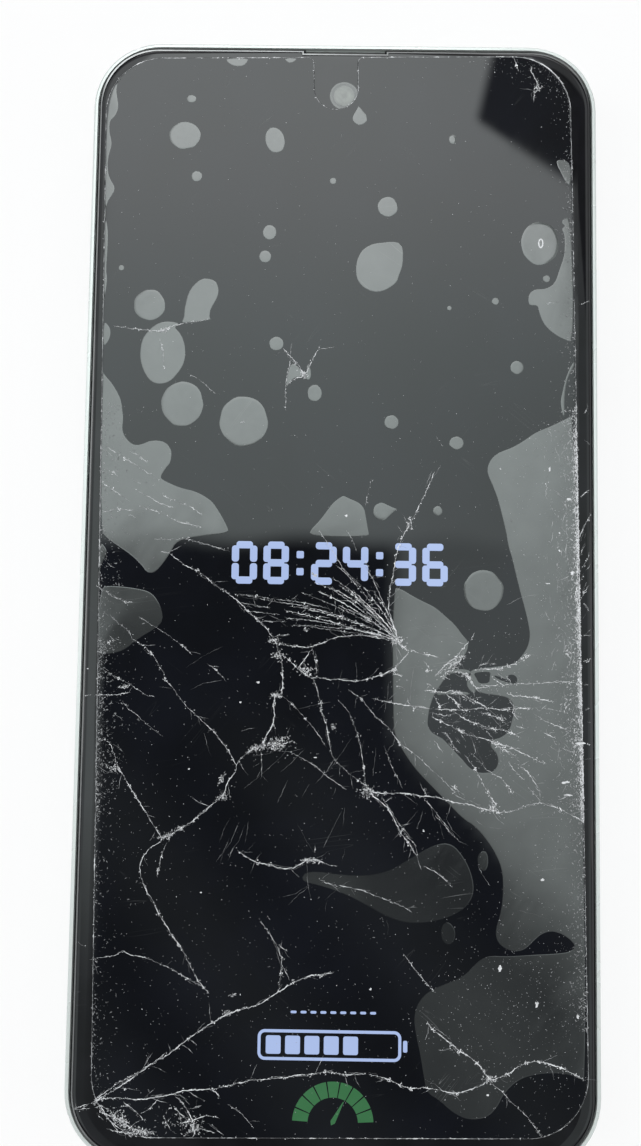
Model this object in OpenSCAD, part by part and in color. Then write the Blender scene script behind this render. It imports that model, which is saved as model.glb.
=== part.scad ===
// Shattered screen phone, lying on its back with the screen up.
// A 6.6 inch class touch phone: metal-look frame, bonded screen, plastic rear cover,
// two rear cameras, side keys, card tray, headphone socket and USB-C port.
// Over the cover glass sits a cracked glass screen protector, stuck on slightly askew.
// Millimetres. X is the width, Y the length (top of the screen at +Y), Z up out of the screen.
// The back lies at the height the rear camera plate stands proud; the plate's face is Z = 0.

/* [Body] */
// width over the frame
body_w = 75.6; // [75:0.1:96]
// length over the frame
body_l = 163.6; // [160:0.1:200]
// thickness from the rear cover to the top of the cover glass
body_t = 8.3; // [8.1:0.1:10]
// corner radius of the frame seen from the front
corner_r = 10; // [8:0.1:12]
// width of the frame's edge showing round the glass
rim_w = 0.7; // [0.6:0.05:1.2]
// rounding of the frame's rear edge
back_round = 2.2; // [1.5:0.1:2.6]
// small rounding of the frame's front edge
edge_round = 0.3; // [0.2:0.05:0.35]
// how far the frame's front edge stays below the glass
rim_drop = 0.15; // [0.05:0.05:0.3]

/* [Screen] */
// cover glass thickness
glass_t = 0.7; // [0.5:0.05:0.9]
// gap between the cover glass and the frame
glass_gap = 0.1; // [0.05:0.01:0.15]
// display panel thickness with its backlight
panel_t = 1.25; // [1:0.05:1.5]
// black border between the panel edge and the glass edge
panel_border = 1.8; // [1.5:0.1:3]
// radius of the display panel's corners
panel_r = 7.5; // [6:0.1:8]
// distance of the front camera from the top of the glass
front_cam_drop = 7.4; // [7:0.1:9]
// radius of the front camera's barrel
front_cam_r = 2.5; // [2:0.1:3]
// width of the earpiece notch in the glass edge
ear_w = 12; // [8:0.5:16]
// depth of the earpiece notch in the glass edge
ear_d = 0.5; // [0.4:0.05:0.6]

/* [Screen protector] */
// protector width
guard_w = 69.9; // [66:0.1:72]
// protector length
guard_l = 157.1; // [150:0.1:159]
// protector thickness
guard_t = 0.33; // [0.25:0.01:0.5]
// protector corner radius
guard_r = 7; // [4:0.1:9]
// how far the protector is turned on the glass, in degrees
guard_turn = 0.8; // [0:0.1:1]
// how far the protector sits towards the top of the glass
guard_shift = 1.1; // [0:0.1:1.5]
// width of the notch for the front camera
notch_w = 6.5; // [6.2:0.1:10]
// depth of the notch for the front camera
notch_d = 8.1; // [7.8:0.1:10]
// offset of the notch from the middle of the protector
notch_x = -0.3; // [-3:0.1:3]
// width of a crack line
crack_w = 0.16; // [0.1:0.01:0.3]
// radius of the crushed pit the fan of cracks starts from
pit_r = 1; // [0.8:0.1:1.5]
// depth of a crack in the protector
crack_d = 0.16; // [0.08:0.01:0.2]

/* [Rear cover and camera plate] */
// rear cover thickness
cover_t = 0.8; // [0.7:0.05:1]
// bonding layer under the rear cover
glue_t = 0.1; // [0.08:0.01:0.15]
// lip of the frame showing round the rear cover
cover_lip = 0.5; // [0.4:0.05:0.8]
// ledge the rear cover is bonded to
cover_ledge = 1.3; // [1:0.1:1.6]
// how far the camera plate stands proud of the rear cover
cam_proud = 0.6; // [0.4:0.05:1]
// depth the camera plate sinks into the rear cover
cam_sink = 0.3; // [0.2:0.05:0.4]
// camera plate width
cam_w = 20; // [18:0.5:24]
// camera plate length
cam_l = 30; // [28:0.5:34]
// camera plate corner radius
cam_r = 5; // [3:0.1:7]
// middle of the camera plate in from the right side of the body
cam_in = 17.3; // [16.5:0.1:18.5]
// middle of the camera plate down from the top of the body
cam_down = 20.3; // [19.8:0.1:22]
// distance between the two rear cameras
cam_pitch = 13.2; // [12:0.1:14]
// radius of a rear camera window
window_r = 4.4; // [4:0.1:5]
// radius of the flash lens
flash_r = 1.6; // [1.2:0.1:2]

/* [Keys] */
// length of the volume key
volume_l = 20; // [16:0.5:24]
// middle of the volume key down from the top of the body
volume_down = 27.8; // [26:0.1:30]
// length of the power key
power_l = 11; // [9:0.5:13]
// middle of the power key down from the top of the body
power_down = 49.3; // [48:0.1:56]
// height of the keys
key_h = 2.5; // [2:0.1:3]
// how far the keys stand out of the frame
key_out = 0.35; // [0.2:0.05:0.6]
// gap round a key in its slot
key_gap = 0.15; // [0.1:0.01:0.2]
// travel of a key when it is pressed
key_travel = 0.25; // [0.15:0.05:0.3]

/* [Card tray] */
// width of the card tray
tray_w = 14.6; // [13:0.1:16]
// length of the card tray from its cap
tray_l = 23; // [20:0.5:26]
// thickness of the card tray
tray_t = 0.9; // [0.7:0.05:1]
// middle of the card tray down from the top of the body
tray_down = 23.8; // [22:0.1:26]
// gap round the card tray
tray_gap = 0.12; // [0.08:0.01:0.15]

/* [Ports] */
// USB-C shell width outside
usb_w = 8.94; // [8.5:0.01:9.5]
// USB-C shell height outside
usb_h = 3.16; // [3:0.01:3.4]
// USB-C shell depth
usb_l = 7.3; // [6:0.1:9]
// radius of the headphone socket's bore
jack_r = 1.78; // [1.75:0.01:1.85]
// depth of the headphone socket's bore
jack_l = 14; // [12:0.1:16]
// headphone socket to the right of the middle
jack_x = 20; // [17:0.5:21]

/* [Battery and boards] */
// battery width
battery_w = 61; // [50:0.5:62]
// battery length
battery_l = 86; // [70:0.5:88]
// circuit board thickness
board_t = 0.7; // [0.5:0.05:0.8]
// length of the main board
board_l = 35; // [34:0.5:38]
// length of the lower board
sub_l = 27; // [26:0.5:29]
// standoff between the boards and the chassis plate
standoff = 0.3; // [0.25:0.05:0.4]

/* [Hidden] */
$fn = 64;
// small overrun so that cuts pass right through
o = 0.5;
half_w = body_w / 2;
half_l = body_l / 2;
// heights, from the back up
z_back = cam_proud;
z_cover = z_back + cover_t;
z_ledge = z_cover + glue_t;
z_top = z_back + body_t;
z_glass = z_top - glass_t;
flex_t = 0.15;
z_shelf = z_glass - flex_t;
z_panel = z_glass - panel_t;
z_seat = z_panel - flex_t;
plate_t = 0.6;
z_plate = z_seat - plate_t;
z_board = z_plate - standoff;
z_rear = z_board - board_t;
z_rim = z_top - rim_drop;
frame_h = z_rim - z_back;
// the screen
glass_w = body_w - 2 * rim_w;
glass_l = body_l - 2 * rim_w;
glass_r = corner_r - rim_w;
panel_w = glass_w - 2 * panel_border;
panel_l = glass_l - 2 * panel_border;
panel_gap = 0.25;
cam_y = glass_l / 2 - front_cam_drop;
// the rear cover and the room inside
cover_w = body_w - 2 * (back_round + cover_lip);
cover_l = body_l - 2 * (back_round + cover_lip);
cover_r = corner_r - back_round - cover_lip;
cover_gap = 0.05;
in_x = cover_w / 2 - cover_ledge;
in_y = cover_l / 2 - cover_ledge;
in_r = 6;
// the boards
edge_gap = 0.6;
rib_t = 0.8;
rib_x = in_x - 2.1;
board_x0 = -in_x + 0.8;
board_x1 = rib_x - rib_t - 0.5;
board_y1 = in_y - edge_gap;
board_y0 = board_y1 - board_l;
sub_x0 = -7;
sub_x1 = in_x - 2.3;
sub_y0 = -in_y + edge_gap;
sub_y1 = sub_y0 + sub_l;
// the battery, hung below the main board
battery_x0 = -in_x + 2.4;
battery_y1 = board_y0 - 5;
battery_y0 = battery_y1 - battery_l;
battery_glue = 0.15;
battery_z0 = z_ledge + 0.25;
battery_z1 = z_plate - battery_glue;
battery_x = battery_x0 + battery_w / 2;
battery_y = (battery_y0 + battery_y1) / 2;
sheet_t = 0.1;
// brackets and screws
top_z0 = z_ledge + 0.1;
top_t = 0.8;
boss_r = 1.6;
shoulder_r = 2.3;
pilot_r = 0.65;
screw_r = 0.6;
head_r = 1.2;
head_t = 0.35;
low_z0 = top_z0 + head_t;
low_t = 0.4;
screw_l = 3.4;
top_y = board_y1 - 3;
boss_y = board_y0 + 2.8;
TOP_BOSSES = [
  [board_x0 + 4.5, boss_y],
  [board_x0 + 3.9, top_y],
  [-8, boss_y],
  [9.5, boss_y + 15],
  [board_x1 - 2.3, boss_y],
  [board_x1 - 2.2, top_y]
];
LOW_BOSSES = [
  [sub_x0 + 2.5, sub_y1 - 5.5],
  [12, sub_y0 + 13],
  [sub_x1 - 3, sub_y0 + 3.4],
  [sub_x1 - 2.7, sub_y1 - 3]
];
// rear cameras
cam_x = half_w - cam_in;
plate_y = half_l - cam_down;
cam_y1 = plate_y + cam_pitch / 2 + 0.7;
cam_y2 = cam_y1 - cam_pitch;
flash_x = cam_x + 6.3;
flash_y = (cam_y1 + cam_y2) / 2;
barrel_r = window_r - 0.4;
main_s = 10;
second_s = 8.5;
small_s = 6.6;
window_gap = 0.5;
z_barrel = z_back + 0.4;
// keys and their switches
volume_y = half_l - volume_down;
power_y = half_l - power_down;
key_z = z_plate - key_h / 2 - 0.75;
flange_t = 0.6;
flange_x = in_x - 0.05 - flange_t;
nub_l = 0.25;
switch_x = rib_x + flex_t;
switch_l = flange_x - nub_l - key_travel - 0.05 - switch_x;
// card tray
tray_y = half_l - tray_down;
tray_z = z_rear - 1.3;
cap_t = 1.2;
cap_w = tray_w + 2.2;
cap_h = 2;
cap_z = tray_z + tray_t / 2;
pin_r = 0.42;
pin_y = tray_y + tray_w / 2 + 0.5;
reader_x1 = -half_w + cap_t + tray_l + 0.8;
// ports
usb_z = z_rear - usb_h / 2;
usb_y = -half_l + 0.4;
jack_h = 4.3;
jack_z = z_plate - jack_h / 2 + 0.15;
jack_foot = jack_z - jack_h / 2 + 0.05;
jack_nose = jack_r + 0.4;
jack_y = -half_l + 0.4;
// sound
ear_y = glass_l / 2 - ear_d;
ear_x = -10.5;
speaker_x0 = -in_x + edge_gap;
speaker_x1 = sub_x0 - 1.2;
speaker_y1 = sub_y1 - 4;
sound_z = z_back + 3.4;
mic_x = 10;
mic_z = z_rear - 0.5;
// ribbons and the aerial lead
ribbon_x = 6;
battery_lead_x = ribbon_x + 12;
ribbon_w = 8;
ribbon_z = z_rear - 0.8;
coax_r = 0.5;
coax_x = -in_x + 1.4;
coax_z = z_rear - coax_r;
coax_y = sub_y1 - 1.3;
motor_r = 4;
motor_x = 21.5;
motor_y = sub_y1 - 8.8;

// crack routes in the glass: each a run of points from the middle of the glass
LONG_CRACKS = [
  [[-26, 4.5], [-20.6, 1.9], [-16, -1.5], [-9.5, -7.7]],
  [[-9.5, -7.7], [-4.3, -9.1], [3, -7.2], [8.6, -8]],
  [[13.7, 16.7], [9.1, 7], [7.3, -2], [8.6, -8]],
  [[-33.3, -4.7], [-26.2, -11.2], [-20.8, -18.6], [-14.3, -26]],
  [[-8.6, -9.2], [-7.9, -15], [-9.3, -20.4], [-14.3, -26]],
  [[-31.6, -26], [-24.7, -36.4], [-16.2, -30.4]],
  [[-24.7, -36.4], [-27.6, -42], [-18.3, -57.2]],
  [[-4.6, -13], [-2.4, -18], [4.6, -29.6], [11.7, -38.6]],
  [[4.6, -29.6], [14.5, -30.2], [23, -32.2], [29.3, -30.7]],
  [[1.5, -15], [9, -22.5], [17, -29.4]],
  [[-32.4, -72.4], [-20.4, -64.2], [-7.8, -57.6], [0, -54.8]],
  [[-31, -72.4], [-18.5, -71.1], [-5, -68.9], [4.8, -68.6], [14.5, -70.6], [22, -69.2], [29, -66.5]],
  [[13.2, -61.3], [17.8, -65.3], [22, -69.2]],
  [[8.5, -14.3], [19.5, -14.8], [29.6, -16]],
  [[5, -16.3], [13.5, -17.5], [27.5, -17.3]]
];
// where the cracks of the fan end, all starting from its hub
FAN_HUB = [8.6, -8];
FAN_ENDS = [[2, -0.7], [4, -0.4], [-3, -1], [-4.5, -3.6], [-7.9, -3.7], [-3.5, -5.9]];

// flat outline with round corners
module rounded(w, l, r) {
  square([w - 2 * r, l], center = true);
  square([w, l - 2 * r], center = true);
  for (x = [-1, 1], y = [-1, 1]) translate([x * (w / 2 - r), y * (l / 2 - r)]) circle(r);
}

// plate with round corners, standing on z0
module plate(w, l, r, z0, z1) {
  translate([0, 0, z0]) linear_extrude(z1 - z0) rounded(w, l, r);
}

// block from one corner to the opposite one
module block(a, b) {
  translate(a) cube([b[0] - a[0], b[1] - a[1], b[2] - a[2]]);
}

// upright round bar
module post(x, y, z0, z1, r) {
  translate([x, y, z0]) cylinder(r = r, h = z1 - z0);
}

// round bar along Y
module bar_y(x, z, y0, y1, r) {
  translate([x, y0, z]) rotate([-90, 0, 0]) cylinder(r = r, h = y1 - y0);
}

// section through the frame's outer edge, from a corner's centre outwards
module rim_section() {
  translate([0, back_round]) square([corner_r, frame_h - back_round - edge_round]);
  square([corner_r - back_round, back_round]);
  translate([corner_r - back_round, back_round]) circle(back_round);
  translate([0, frame_h - edge_round]) square([corner_r - edge_round, edge_round]);
  translate([corner_r - edge_round, frame_h - edge_round]) circle(edge_round);
}

// one side of the frame's outer form, out to the given half size
module rim_side(half, run) {
  translate([half - corner_r, run / 2, z_back]) rotate([90, 0, 0]) linear_extrude(run) rim_section();
}

// the frame's outer form, solid
module frame_form() {
  side_x = half_w - corner_r;
  side_y = half_l - corner_r;
  block([-side_x, -side_y, z_back], [side_x, side_y, z_rim]);
  for (a = [0, 180]) rotate([0, 0, a]) rim_side(half_w, 2 * side_y);
  for (a = [90, 270]) rotate([0, 0, a]) rim_side(half_l, 2 * side_x);
  for (c = [[1, 1, 0], [-1, 1, 90], [-1, -1, 180], [1, -1, 270]]) {
    translate([c[0] * side_x, c[1] * side_y, z_back]) rotate(c[2]) rotate_extrude(angle = 90) rim_section();
  }
}

// bar with a rounded section h high and l long, from x0 to x1
module side_bar(x0, x1, y, z, h, l, r) {
  translate([x0, y, z]) rotate([0, 90, 0]) linear_extrude(x1 - x0) rounded(h, l, r);
}

// round bar along X
module bar_x(y, z, x0, x1, r) {
  translate([x0, y, z]) rotate([0, 90, 0]) cylinder(r = r, h = x1 - x0);
}

// bar with a key's outline, grown by g
module key_bar(y, l, g, x0, x1) {
  side_bar(x0, x1, y, key_z, key_h + 2 * g, l + 2 * g, key_h / 2 - 0.1);
}

// rounded slot outline of the USB-C shell, grown by g
module usb_outline(g) {
  rounded(usb_w + 2 * g, usb_h + 2 * g, usb_h / 2 + g - 0.01);
}

// bar with the USB-C outline, from y0 to y1
module usb_bar(g, y0, y1) {
  translate([0, y1, usb_z]) rotate([90, 0, 0]) linear_extrude(y1 - y0) usb_outline(g);
}

// sides of a thin can, open towards the board
module can(x0, y0, x1, y1, z0) {
  wall = 0.2;
  difference() {
    block([x0, y0, z0], [x1, y1, z_rear]);
    block([x0 + wall, y0 + wall, z0 + wall], [x1 - wall, y1 - wall, z_rear + o]);
  }
}

// straight line between two points on the glass
module line(a, b) {
  run = norm(b - a);
  turn = atan2(b[1] - a[1], b[0] - a[0]);
  translate(a) rotate(turn) translate([-crack_w / 2, -crack_w / 2]) square([run + crack_w, crack_w]);
}

// the crack pattern, cut from height z upwards
module cracks(z, routes) {
  translate([0, 0, z]) linear_extrude(1) {
    for (route = routes, i = [0 : len(route) - 2]) line(route[i], route[i + 1]);
    translate(FAN_HUB) circle(pit_r);
  }
}

// what the rear cameras, their windows and the flash take out of a plate
module rear_openings(r, z0, z1) {
  for (y = [cam_y1, cam_y2]) post(cam_x, y, z0, z1, r);
  post(flash_x, flash_y, z0, z1, flash_r + 0.1);
}

module screen_protector() {
  color([0.75, 0.8, 0.8, 0.5])
  difference() {
    translate([0, guard_shift, 0]) rotate([0, 0, guard_turn]) difference() {
      plate(guard_w, guard_l, guard_r, z_top, z_top + guard_t);
      translate([notch_x, guard_l / 2 - notch_d, z_top - o]) linear_extrude(guard_t + 2 * o) guard_notch();
    }
    cracks(z_top + guard_t - crack_d, concat(LONG_CRACKS, [for (end = FAN_ENDS) [FAN_HUB, end]]));
  }
}

// round-bottomed notch, open at the top
module guard_notch() {
  foot_r = notch_w / 2 - 0.05;
  translate([0, foot_r]) circle(foot_r);
  translate([-foot_r, foot_r]) square([2 * foot_r, notch_d]);
}

module cover_glass() {
  color([0.04, 0.04, 0.05])
  difference() {
    plate(glass_w, glass_l, glass_r, z_glass, z_top);
    block([-ear_w / 2, ear_y, z_glass - o], [ear_w / 2, glass_l / 2 + o, z_top + o]);
    cracks(z_top - 0.1, [LONG_CRACKS[10], LONG_CRACKS[3], LONG_CRACKS[1]]);
  }
}

module display_panel() {
  color([0.07, 0.07, 0.1])
  difference() {
    plate(panel_w, panel_l, panel_r, z_panel, z_glass);
    post(0, cam_y, z_panel - o, z_glass + o, front_cam_r + 0.3);
  }
}

module display_adhesive() {
  room = panel_gap + 0.1;
  color([0.1, 0.1, 0.1])
  difference() {
    plate(glass_w - 0.4, glass_l - 0.4, glass_r - 0.2, z_shelf, z_glass);
    plate(panel_w + 2 * room, panel_l + 2 * room, panel_r + 0.1, z_shelf - o, z_glass + o);
    block([-ear_w / 2, ear_y - 0.1, z_shelf - o], [ear_w / 2, glass_l / 2 + o, z_glass + o]);
  }
}

module display_flex() {
  w = 6.5;
  color([0.75, 0.45, 0.15]) {
    block([-w, -panel_l / 2 + 0.5, z_seat], [w, sub_y0 + 7.4, z_panel]);
    block([-w, sub_y0 + 7.25, z_board], [w, sub_y0 + 7.4, z_panel]);
    block([-w, sub_y0 + 7.25, z_board], [w, sub_y0 + 11, z_board + flex_t]);
  }
}

module mid_frame() {
  color([0.8, 0.83, 0.8])
  difference() {
    union() {
      difference() {
        frame_form();
        plate(glass_w + 2 * glass_gap, glass_l + 2 * glass_gap, glass_r + glass_gap, z_shelf, z_top + o);
        plate(panel_w + 2 * panel_gap, panel_l + 2 * panel_gap, panel_r + 0.05, z_seat, z_shelf + o);
        plate(cover_w + 2 * cover_gap, cover_l + 2 * cover_gap, cover_r + cover_gap, z_back - o, z_ledge);
        plate(2 * in_x, 2 * in_y, in_r, z_ledge - o, z_plate);
      }
      for (p = TOP_BOSSES) post(p[0], p[1], top_z0 + top_t, z_plate + 0.1, boss_r);
      for (p = TOP_BOSSES) post(p[0], p[1], z_board, z_plate + 0.1, shoulder_r);
      for (p = LOW_BOSSES) post(p[0], p[1], low_z0 + low_t, z_plate + 0.1, boss_r);
      for (p = LOW_BOSSES) post(p[0], p[1], z_board, z_plate + 0.1, shoulder_r);
      block([rib_x - rib_t, power_y - 6, z_ledge + 0.9], [rib_x, volume_y + 10, z_plate + 0.1]);
    }
    for (p = TOP_BOSSES) post(p[0], p[1], top_z0, z_plate - 0.5, pilot_r);
    for (p = LOW_BOSSES) post(p[0], p[1], top_z0, z_plate - 0.5, pilot_r);
    post(0, cam_y, z_plate - o, z_seat + o, front_cam_r + 0.1);
    key_bar(volume_y, volume_l, key_gap, in_x - o, half_w + o);
    key_bar(power_y, power_l, key_gap, in_x - o, half_w + o);
    tray_room();
    sound_room();
    usb_bar(0.08, -half_l - o, -in_y + o);
    bar_y(jack_x, jack_z, -half_l - o, -in_y + o, jack_nose + 0.05);
    block([-6.9, sub_y0 + 6.9, z_plate - o], [6.9, sub_y0 + 7.7, z_seat + o]);
  }
}

// what the card tray takes out of the left side of the frame
module tray_room() {
  g = tray_gap;
  half = tray_w / 2 + g;
  block([-half_w - o, tray_y - half, tray_z - g], [-in_x + o, tray_y + half, tray_z + tray_t + g]);
  side_bar(-half_w - o, -half_w + cap_t + 0.05, tray_y, cap_z, cap_h + 2 * g, cap_w + 2 * g, 0.9);
  bar_x(pin_y, cap_z, -half_w, -in_x + o, pin_r);
}

// sound ducts, sound holes and microphone holes of the frame
module sound_room() {
  block([-ear_w / 2, ear_y - 0.1, z_rear], [ear_w / 2, ear_y + ear_d + 0.05, z_top]);
  block([ear_x - 1, in_y - o, z_rear - 1.6], [-ear_w / 2 + 4, ear_y + ear_d, z_rear]);
  for (i = [0 : 5]) bar_y(speaker_x0 + 7 + 2.2 * i, sound_z, -half_l - o, -in_y + o, 0.55);
  bar_y(mic_x, mic_z, -half_l - o, -in_y + o, 0.5);
  bar_y(mic_x, mic_z, in_y - o, half_l + o, 0.5);
}

module rear_cover() {
  color([0.2, 0.3, 0.32])
  difference() {
    plate(cover_w, cover_l, cover_r, z_back, z_cover);
    translate([cam_x, plate_y, 0]) {
      plate(cam_w + 0.1, cam_l + 0.1, cam_r + 0.05, z_back - o, z_back + cam_sink);
    }
    rear_openings(barrel_r + 0.3, z_back - o, z_cover + o);
  }
}

module rear_adhesive() {
  color([0.12, 0.12, 0.12])
  difference() {
    plate(cover_w - 0.3, cover_l - 0.3, cover_r - 0.15, z_cover, z_ledge);
    plate(2 * in_x, 2 * in_y, in_r, z_cover - o, z_ledge + o);
  }
}

module camera_plate() {
  color([0.1, 0.1, 0.11])
  difference() {
    translate([cam_x, plate_y, 0]) plate(cam_w, cam_l, cam_r, 0, z_back + cam_sink);
    rear_openings(window_r, -o, z_back + o);
  }
}

module camera_windows() {
  color([0.1, 0.12, 0.15])
  for (y = [cam_y1, cam_y2]) post(cam_x, y, 0.12, z_back + cam_sink, window_r - 0.02);
}

module flash_lens() {
  color([0.95, 0.9, 0.7])
  post(flash_x, flash_y, 0.12, z_back + cam_sink, flash_r + 0.08);
}

module flash_led() {
  color([0.9, 0.85, 0.4]) {
    post(flash_x, flash_y, z_back + cam_sink + 0.1, z_cover + 0.4, flash_r - 0.2);
    block([flash_x - 1.5, flash_y - 1.5, z_cover + 0.4], [flash_x + 1.5, flash_y + 1.5, z_rear]);
  }
}

// square camera module with its barrel towards the rear
module rear_camera(y, s, z1) {
  difference() {
    union() {
      block([cam_x - s / 2, y - s / 2, z1], [cam_x + s / 2, y + s / 2, z_plate]);
      post(cam_x, y, z_barrel, z1, barrel_r);
    }
    post(cam_x, y, z_barrel - o, z_barrel + 0.6, barrel_r - 1.2);
    post(cam_x, y, z_barrel - o, z_barrel + 1.6, barrel_r - 2.2);
  }
}

module rear_camera_main() {
  color([0.16, 0.16, 0.18])
  rear_camera(cam_y1, main_s, z_back + 2.4);
}

module rear_camera_second() {
  color([0.18, 0.18, 0.2])
  rear_camera(cam_y2, second_s, z_back + 2.9);
}

module front_camera() {
  color([0.15, 0.15, 0.17])
  difference() {
    union() {
      block([-small_s / 2, cam_y - small_s / 2, z_plate - 2.8], [small_s / 2, cam_y + small_s / 2, z_plate]);
      post(0, cam_y, z_plate - o, z_glass - 0.15, front_cam_r);
    }
    post(0, cam_y, z_glass - 0.9, z_glass + o, 1.55);
  }
}

module front_camera_lens() {
  color([0.5, 0.6, 0.6])
  post(0, cam_y, z_glass - 0.9, z_glass - 0.25, 1.5);
}

// short ribbon w wide along Y, lying on the rear side of a board
module ribbon(x, y0, y1, w) {
  block([x - w / 2, y0, z_rear - 0.12], [x + w / 2, y1, z_rear]);
}

module camera_flexes() {
  color([0.75, 0.45, 0.15]) {
    ribbon(cam_x, cam_y2 + second_s / 2 + 0.6, cam_y1 - main_s / 2, 5);
    ribbon(cam_x, cam_y2 - second_s / 2 - 3.4, cam_y2 - second_s / 2, 5);
    ribbon(0, cam_y - small_s / 2 - 3.6, cam_y - small_s / 2, 4);
  }
}

module earpiece_speaker() {
  color([0.25, 0.25, 0.27]) {
    block([ear_x - 5, in_y - 5.4, z_rear - 1.8], [ear_x + 5, in_y - 0.3, z_rear + 0.4]);
    block([ear_x - 3.5, in_y - 4, z_rear + 0.4], [ear_x + 3.5, in_y - 1.6, z_plate]);
  }
}

module earpiece_mesh() {
  color([0.06, 0.06, 0.07])
  block([-ear_w / 2 + 0.05, ear_y - 0.05, z_glass - 0.8], [ear_w / 2 - 0.05, ear_y + ear_d, z_glass - 0.2]);
}

module light_sensor() {
  color([0.2, 0.15, 0.3])
  block([ear_w / 2 - 3, ear_y - 0.05, z_rear], [ear_w / 2 - 0.6, ear_y + ear_d - 0.05, z_rear + 1.2]);
}

module main_board() {
  w = main_s / 2 + window_gap;
  s = second_s / 2 + window_gap;
  f = small_s / 2 + window_gap;
  color([0.08, 0.3, 0.2])
  difference() {
    translate([0, 0, z_rear]) linear_extrude(board_t) intersection() {
      translate([board_x0, board_y0]) square([board_x1 - board_x0, board_l]);
      rounded(2 * (in_x - edge_gap), 2 * (in_y - edge_gap), in_r - 0.2);
    }
    block([cam_x - w, cam_y1 - w, z_rear - o], [cam_x + w, cam_y1 + w, z_board + o]);
    block([cam_x - s, cam_y2 - s, z_rear - o], [cam_x + s, cam_y2 + s, z_board + o]);
    block([-f, cam_y - f, z_rear - o], [f, board_y1 + o, z_board + o]);
    block([ear_x - 5.4, in_y - 5.8, z_rear - o], [ear_x + 5.4, board_y1 + o, z_board + o]);
    for (p = TOP_BOSSES) post(p[0], p[1], z_rear - o, z_board + o, boss_r + 0.1);
  }
}

module board_shields() {
  color([0.7, 0.7, 0.68]) {
    can(-11.8, board_y0 + 7.8, 5.6, board_y0 + 23.5, z_rear - 1.3);
    can(board_x0 + 8, board_y1 - 9.6, ear_x - 6.4, board_y1 - 2, z_rear - 1.3);
    can(board_x0 + 7.5, board_y0 + 1, -10.8, board_y0 + 6.4, z_rear - 1.3);
  }
}

module board_chips() {
  color([0.1, 0.1, 0.1]) {
    block([-10, board_y0 + 9, z_rear - 0.9], [3.5, board_y0 + 22, z_rear]);
    block([board_x0 + 9, board_y1 - 8.6, z_rear - 0.8], [ear_x - 7.4, board_y1 - 3, z_rear]);
    block([board_x0 + 9, board_y0 + 1.6, z_rear - 0.8], [-12, board_y0 + 5.8, z_rear]);
  }
}

module board_connectors() {
  color([0.85, 0.8, 0.65]) {
    block([ribbon_x - 3.5, board_y0 + 2, ribbon_z], [ribbon_x + 3.5, board_y0 + 4.6, z_rear]);
    block([battery_lead_x - 3, board_y0 + 2, ribbon_z], [battery_lead_x + 3, board_y0 + 4.6, z_rear]);
    block([ribbon_x - 3.5, sub_y1 - 5.6, ribbon_z], [ribbon_x + 3.5, sub_y1 - 3, z_rear]);
    post(coax_x, board_y0 + 1.6, z_rear - 0.7, z_rear, 0.6);
    post(sub_x0 + 2.6, coax_y, z_rear - 0.7, z_rear, 0.6);
  }
}

module card_reader() {
  out = tray_w / 2 + 0.5;
  in = tray_w / 2 + tray_gap;
  color([0.75, 0.75, 0.72])
  difference() {
    block([board_x0 + 0.1, tray_y - out, tray_z - 0.4], [reader_x1 + 0.3, tray_y + out, z_rear]);
    block([board_x0 - o, tray_y - in, tray_z - 0.18], [reader_x1, tray_y + in, tray_z + tray_t + 0.2]);
  }
}

module sim_tray() {
  x0 = -half_w + cap_t;
  pocket = (tray_w - 4) / 2;
  color([0.8, 0.83, 0.8])
  difference() {
    union() {
      block([x0 - 0.2, tray_y - tray_w / 2, tray_z], [x0 + tray_l, tray_y + tray_w / 2, tray_z + tray_t]);
      side_bar(-half_w + 0.02, x0, tray_y, cap_z, cap_h, cap_w, 0.8);
    }
    block([x0 + 5, tray_y - pocket, tray_z + 0.2], [x0 + 13, tray_y + pocket, tray_z + tray_t + o]);
    block([x0 + 14, tray_y - pocket, tray_z + 0.2], [x0 + 22, tray_y + pocket, tray_z + tray_t + o]);
    block([x0 + 7, tray_y - pocket + 1, tray_z - o], [x0 + 11, tray_y + pocket - 1, tray_z + o]);
    block([x0 + 16, tray_y - pocket + 1, tray_z - o], [x0 + 20, tray_y + pocket - 1, tray_z + o]);
    bar_x(pin_y, cap_z, -half_w - o, x0 + o, pin_r);
  }
}

module battery() {
  color([0.2, 0.2, 0.22])
  translate([battery_x, battery_y, 0]) plate(battery_w, battery_l, 1.5, battery_z0, battery_z1);
}

module battery_adhesive() {
  color([0.9, 0.9, 0.85])
  for (x = [-1, 1]) {
    x_strip = battery_x + x * battery_w / 4;
    translate([x_strip, battery_y, 0]) plate(10, battery_l - 16, 1, battery_z1, z_plate);
  }
}

module battery_flex() {
  color([0.75, 0.45, 0.15])
  block([battery_lead_x - 3, battery_y1, ribbon_z - flex_t], [battery_lead_x + 3, board_y0 + 4.6, ribbon_z]);
}

module graphite_sheet() {
  color([0.25, 0.25, 0.27])
  translate([battery_x, battery_y, battery_z0 - sheet_t]) plate(battery_w - 6, battery_l - 8, 2, 0, sheet_t);
}

module sub_board() {
  color([0.08, 0.3, 0.2])
  difference() {
    translate([0, 0, z_rear]) linear_extrude(board_t) intersection() {
      translate([sub_x0, sub_y0]) square([sub_x1 - sub_x0, sub_l]);
      rounded(2 * (in_x - edge_gap), 2 * (in_y - edge_gap), in_r - 0.2);
    }
    block([jack_x - 3.5, sub_y0 - o, z_rear - o], [jack_x + 3.5, jack_y + jack_l + 1.3, z_board + o]);
    post(motor_x, motor_y, z_rear - o, z_board + o, motor_r + 0.4);
    for (p = LOW_BOSSES) post(p[0], p[1], z_rear - o, z_board + o, boss_r + 0.1);
  }
}

module usb_shell() {
  color([0.78, 0.78, 0.76])
  difference() {
    usb_bar(0, usb_y, usb_y + usb_l);
    usb_bar(-0.3, usb_y - o, usb_y + usb_l - 0.5);
  }
}

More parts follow.
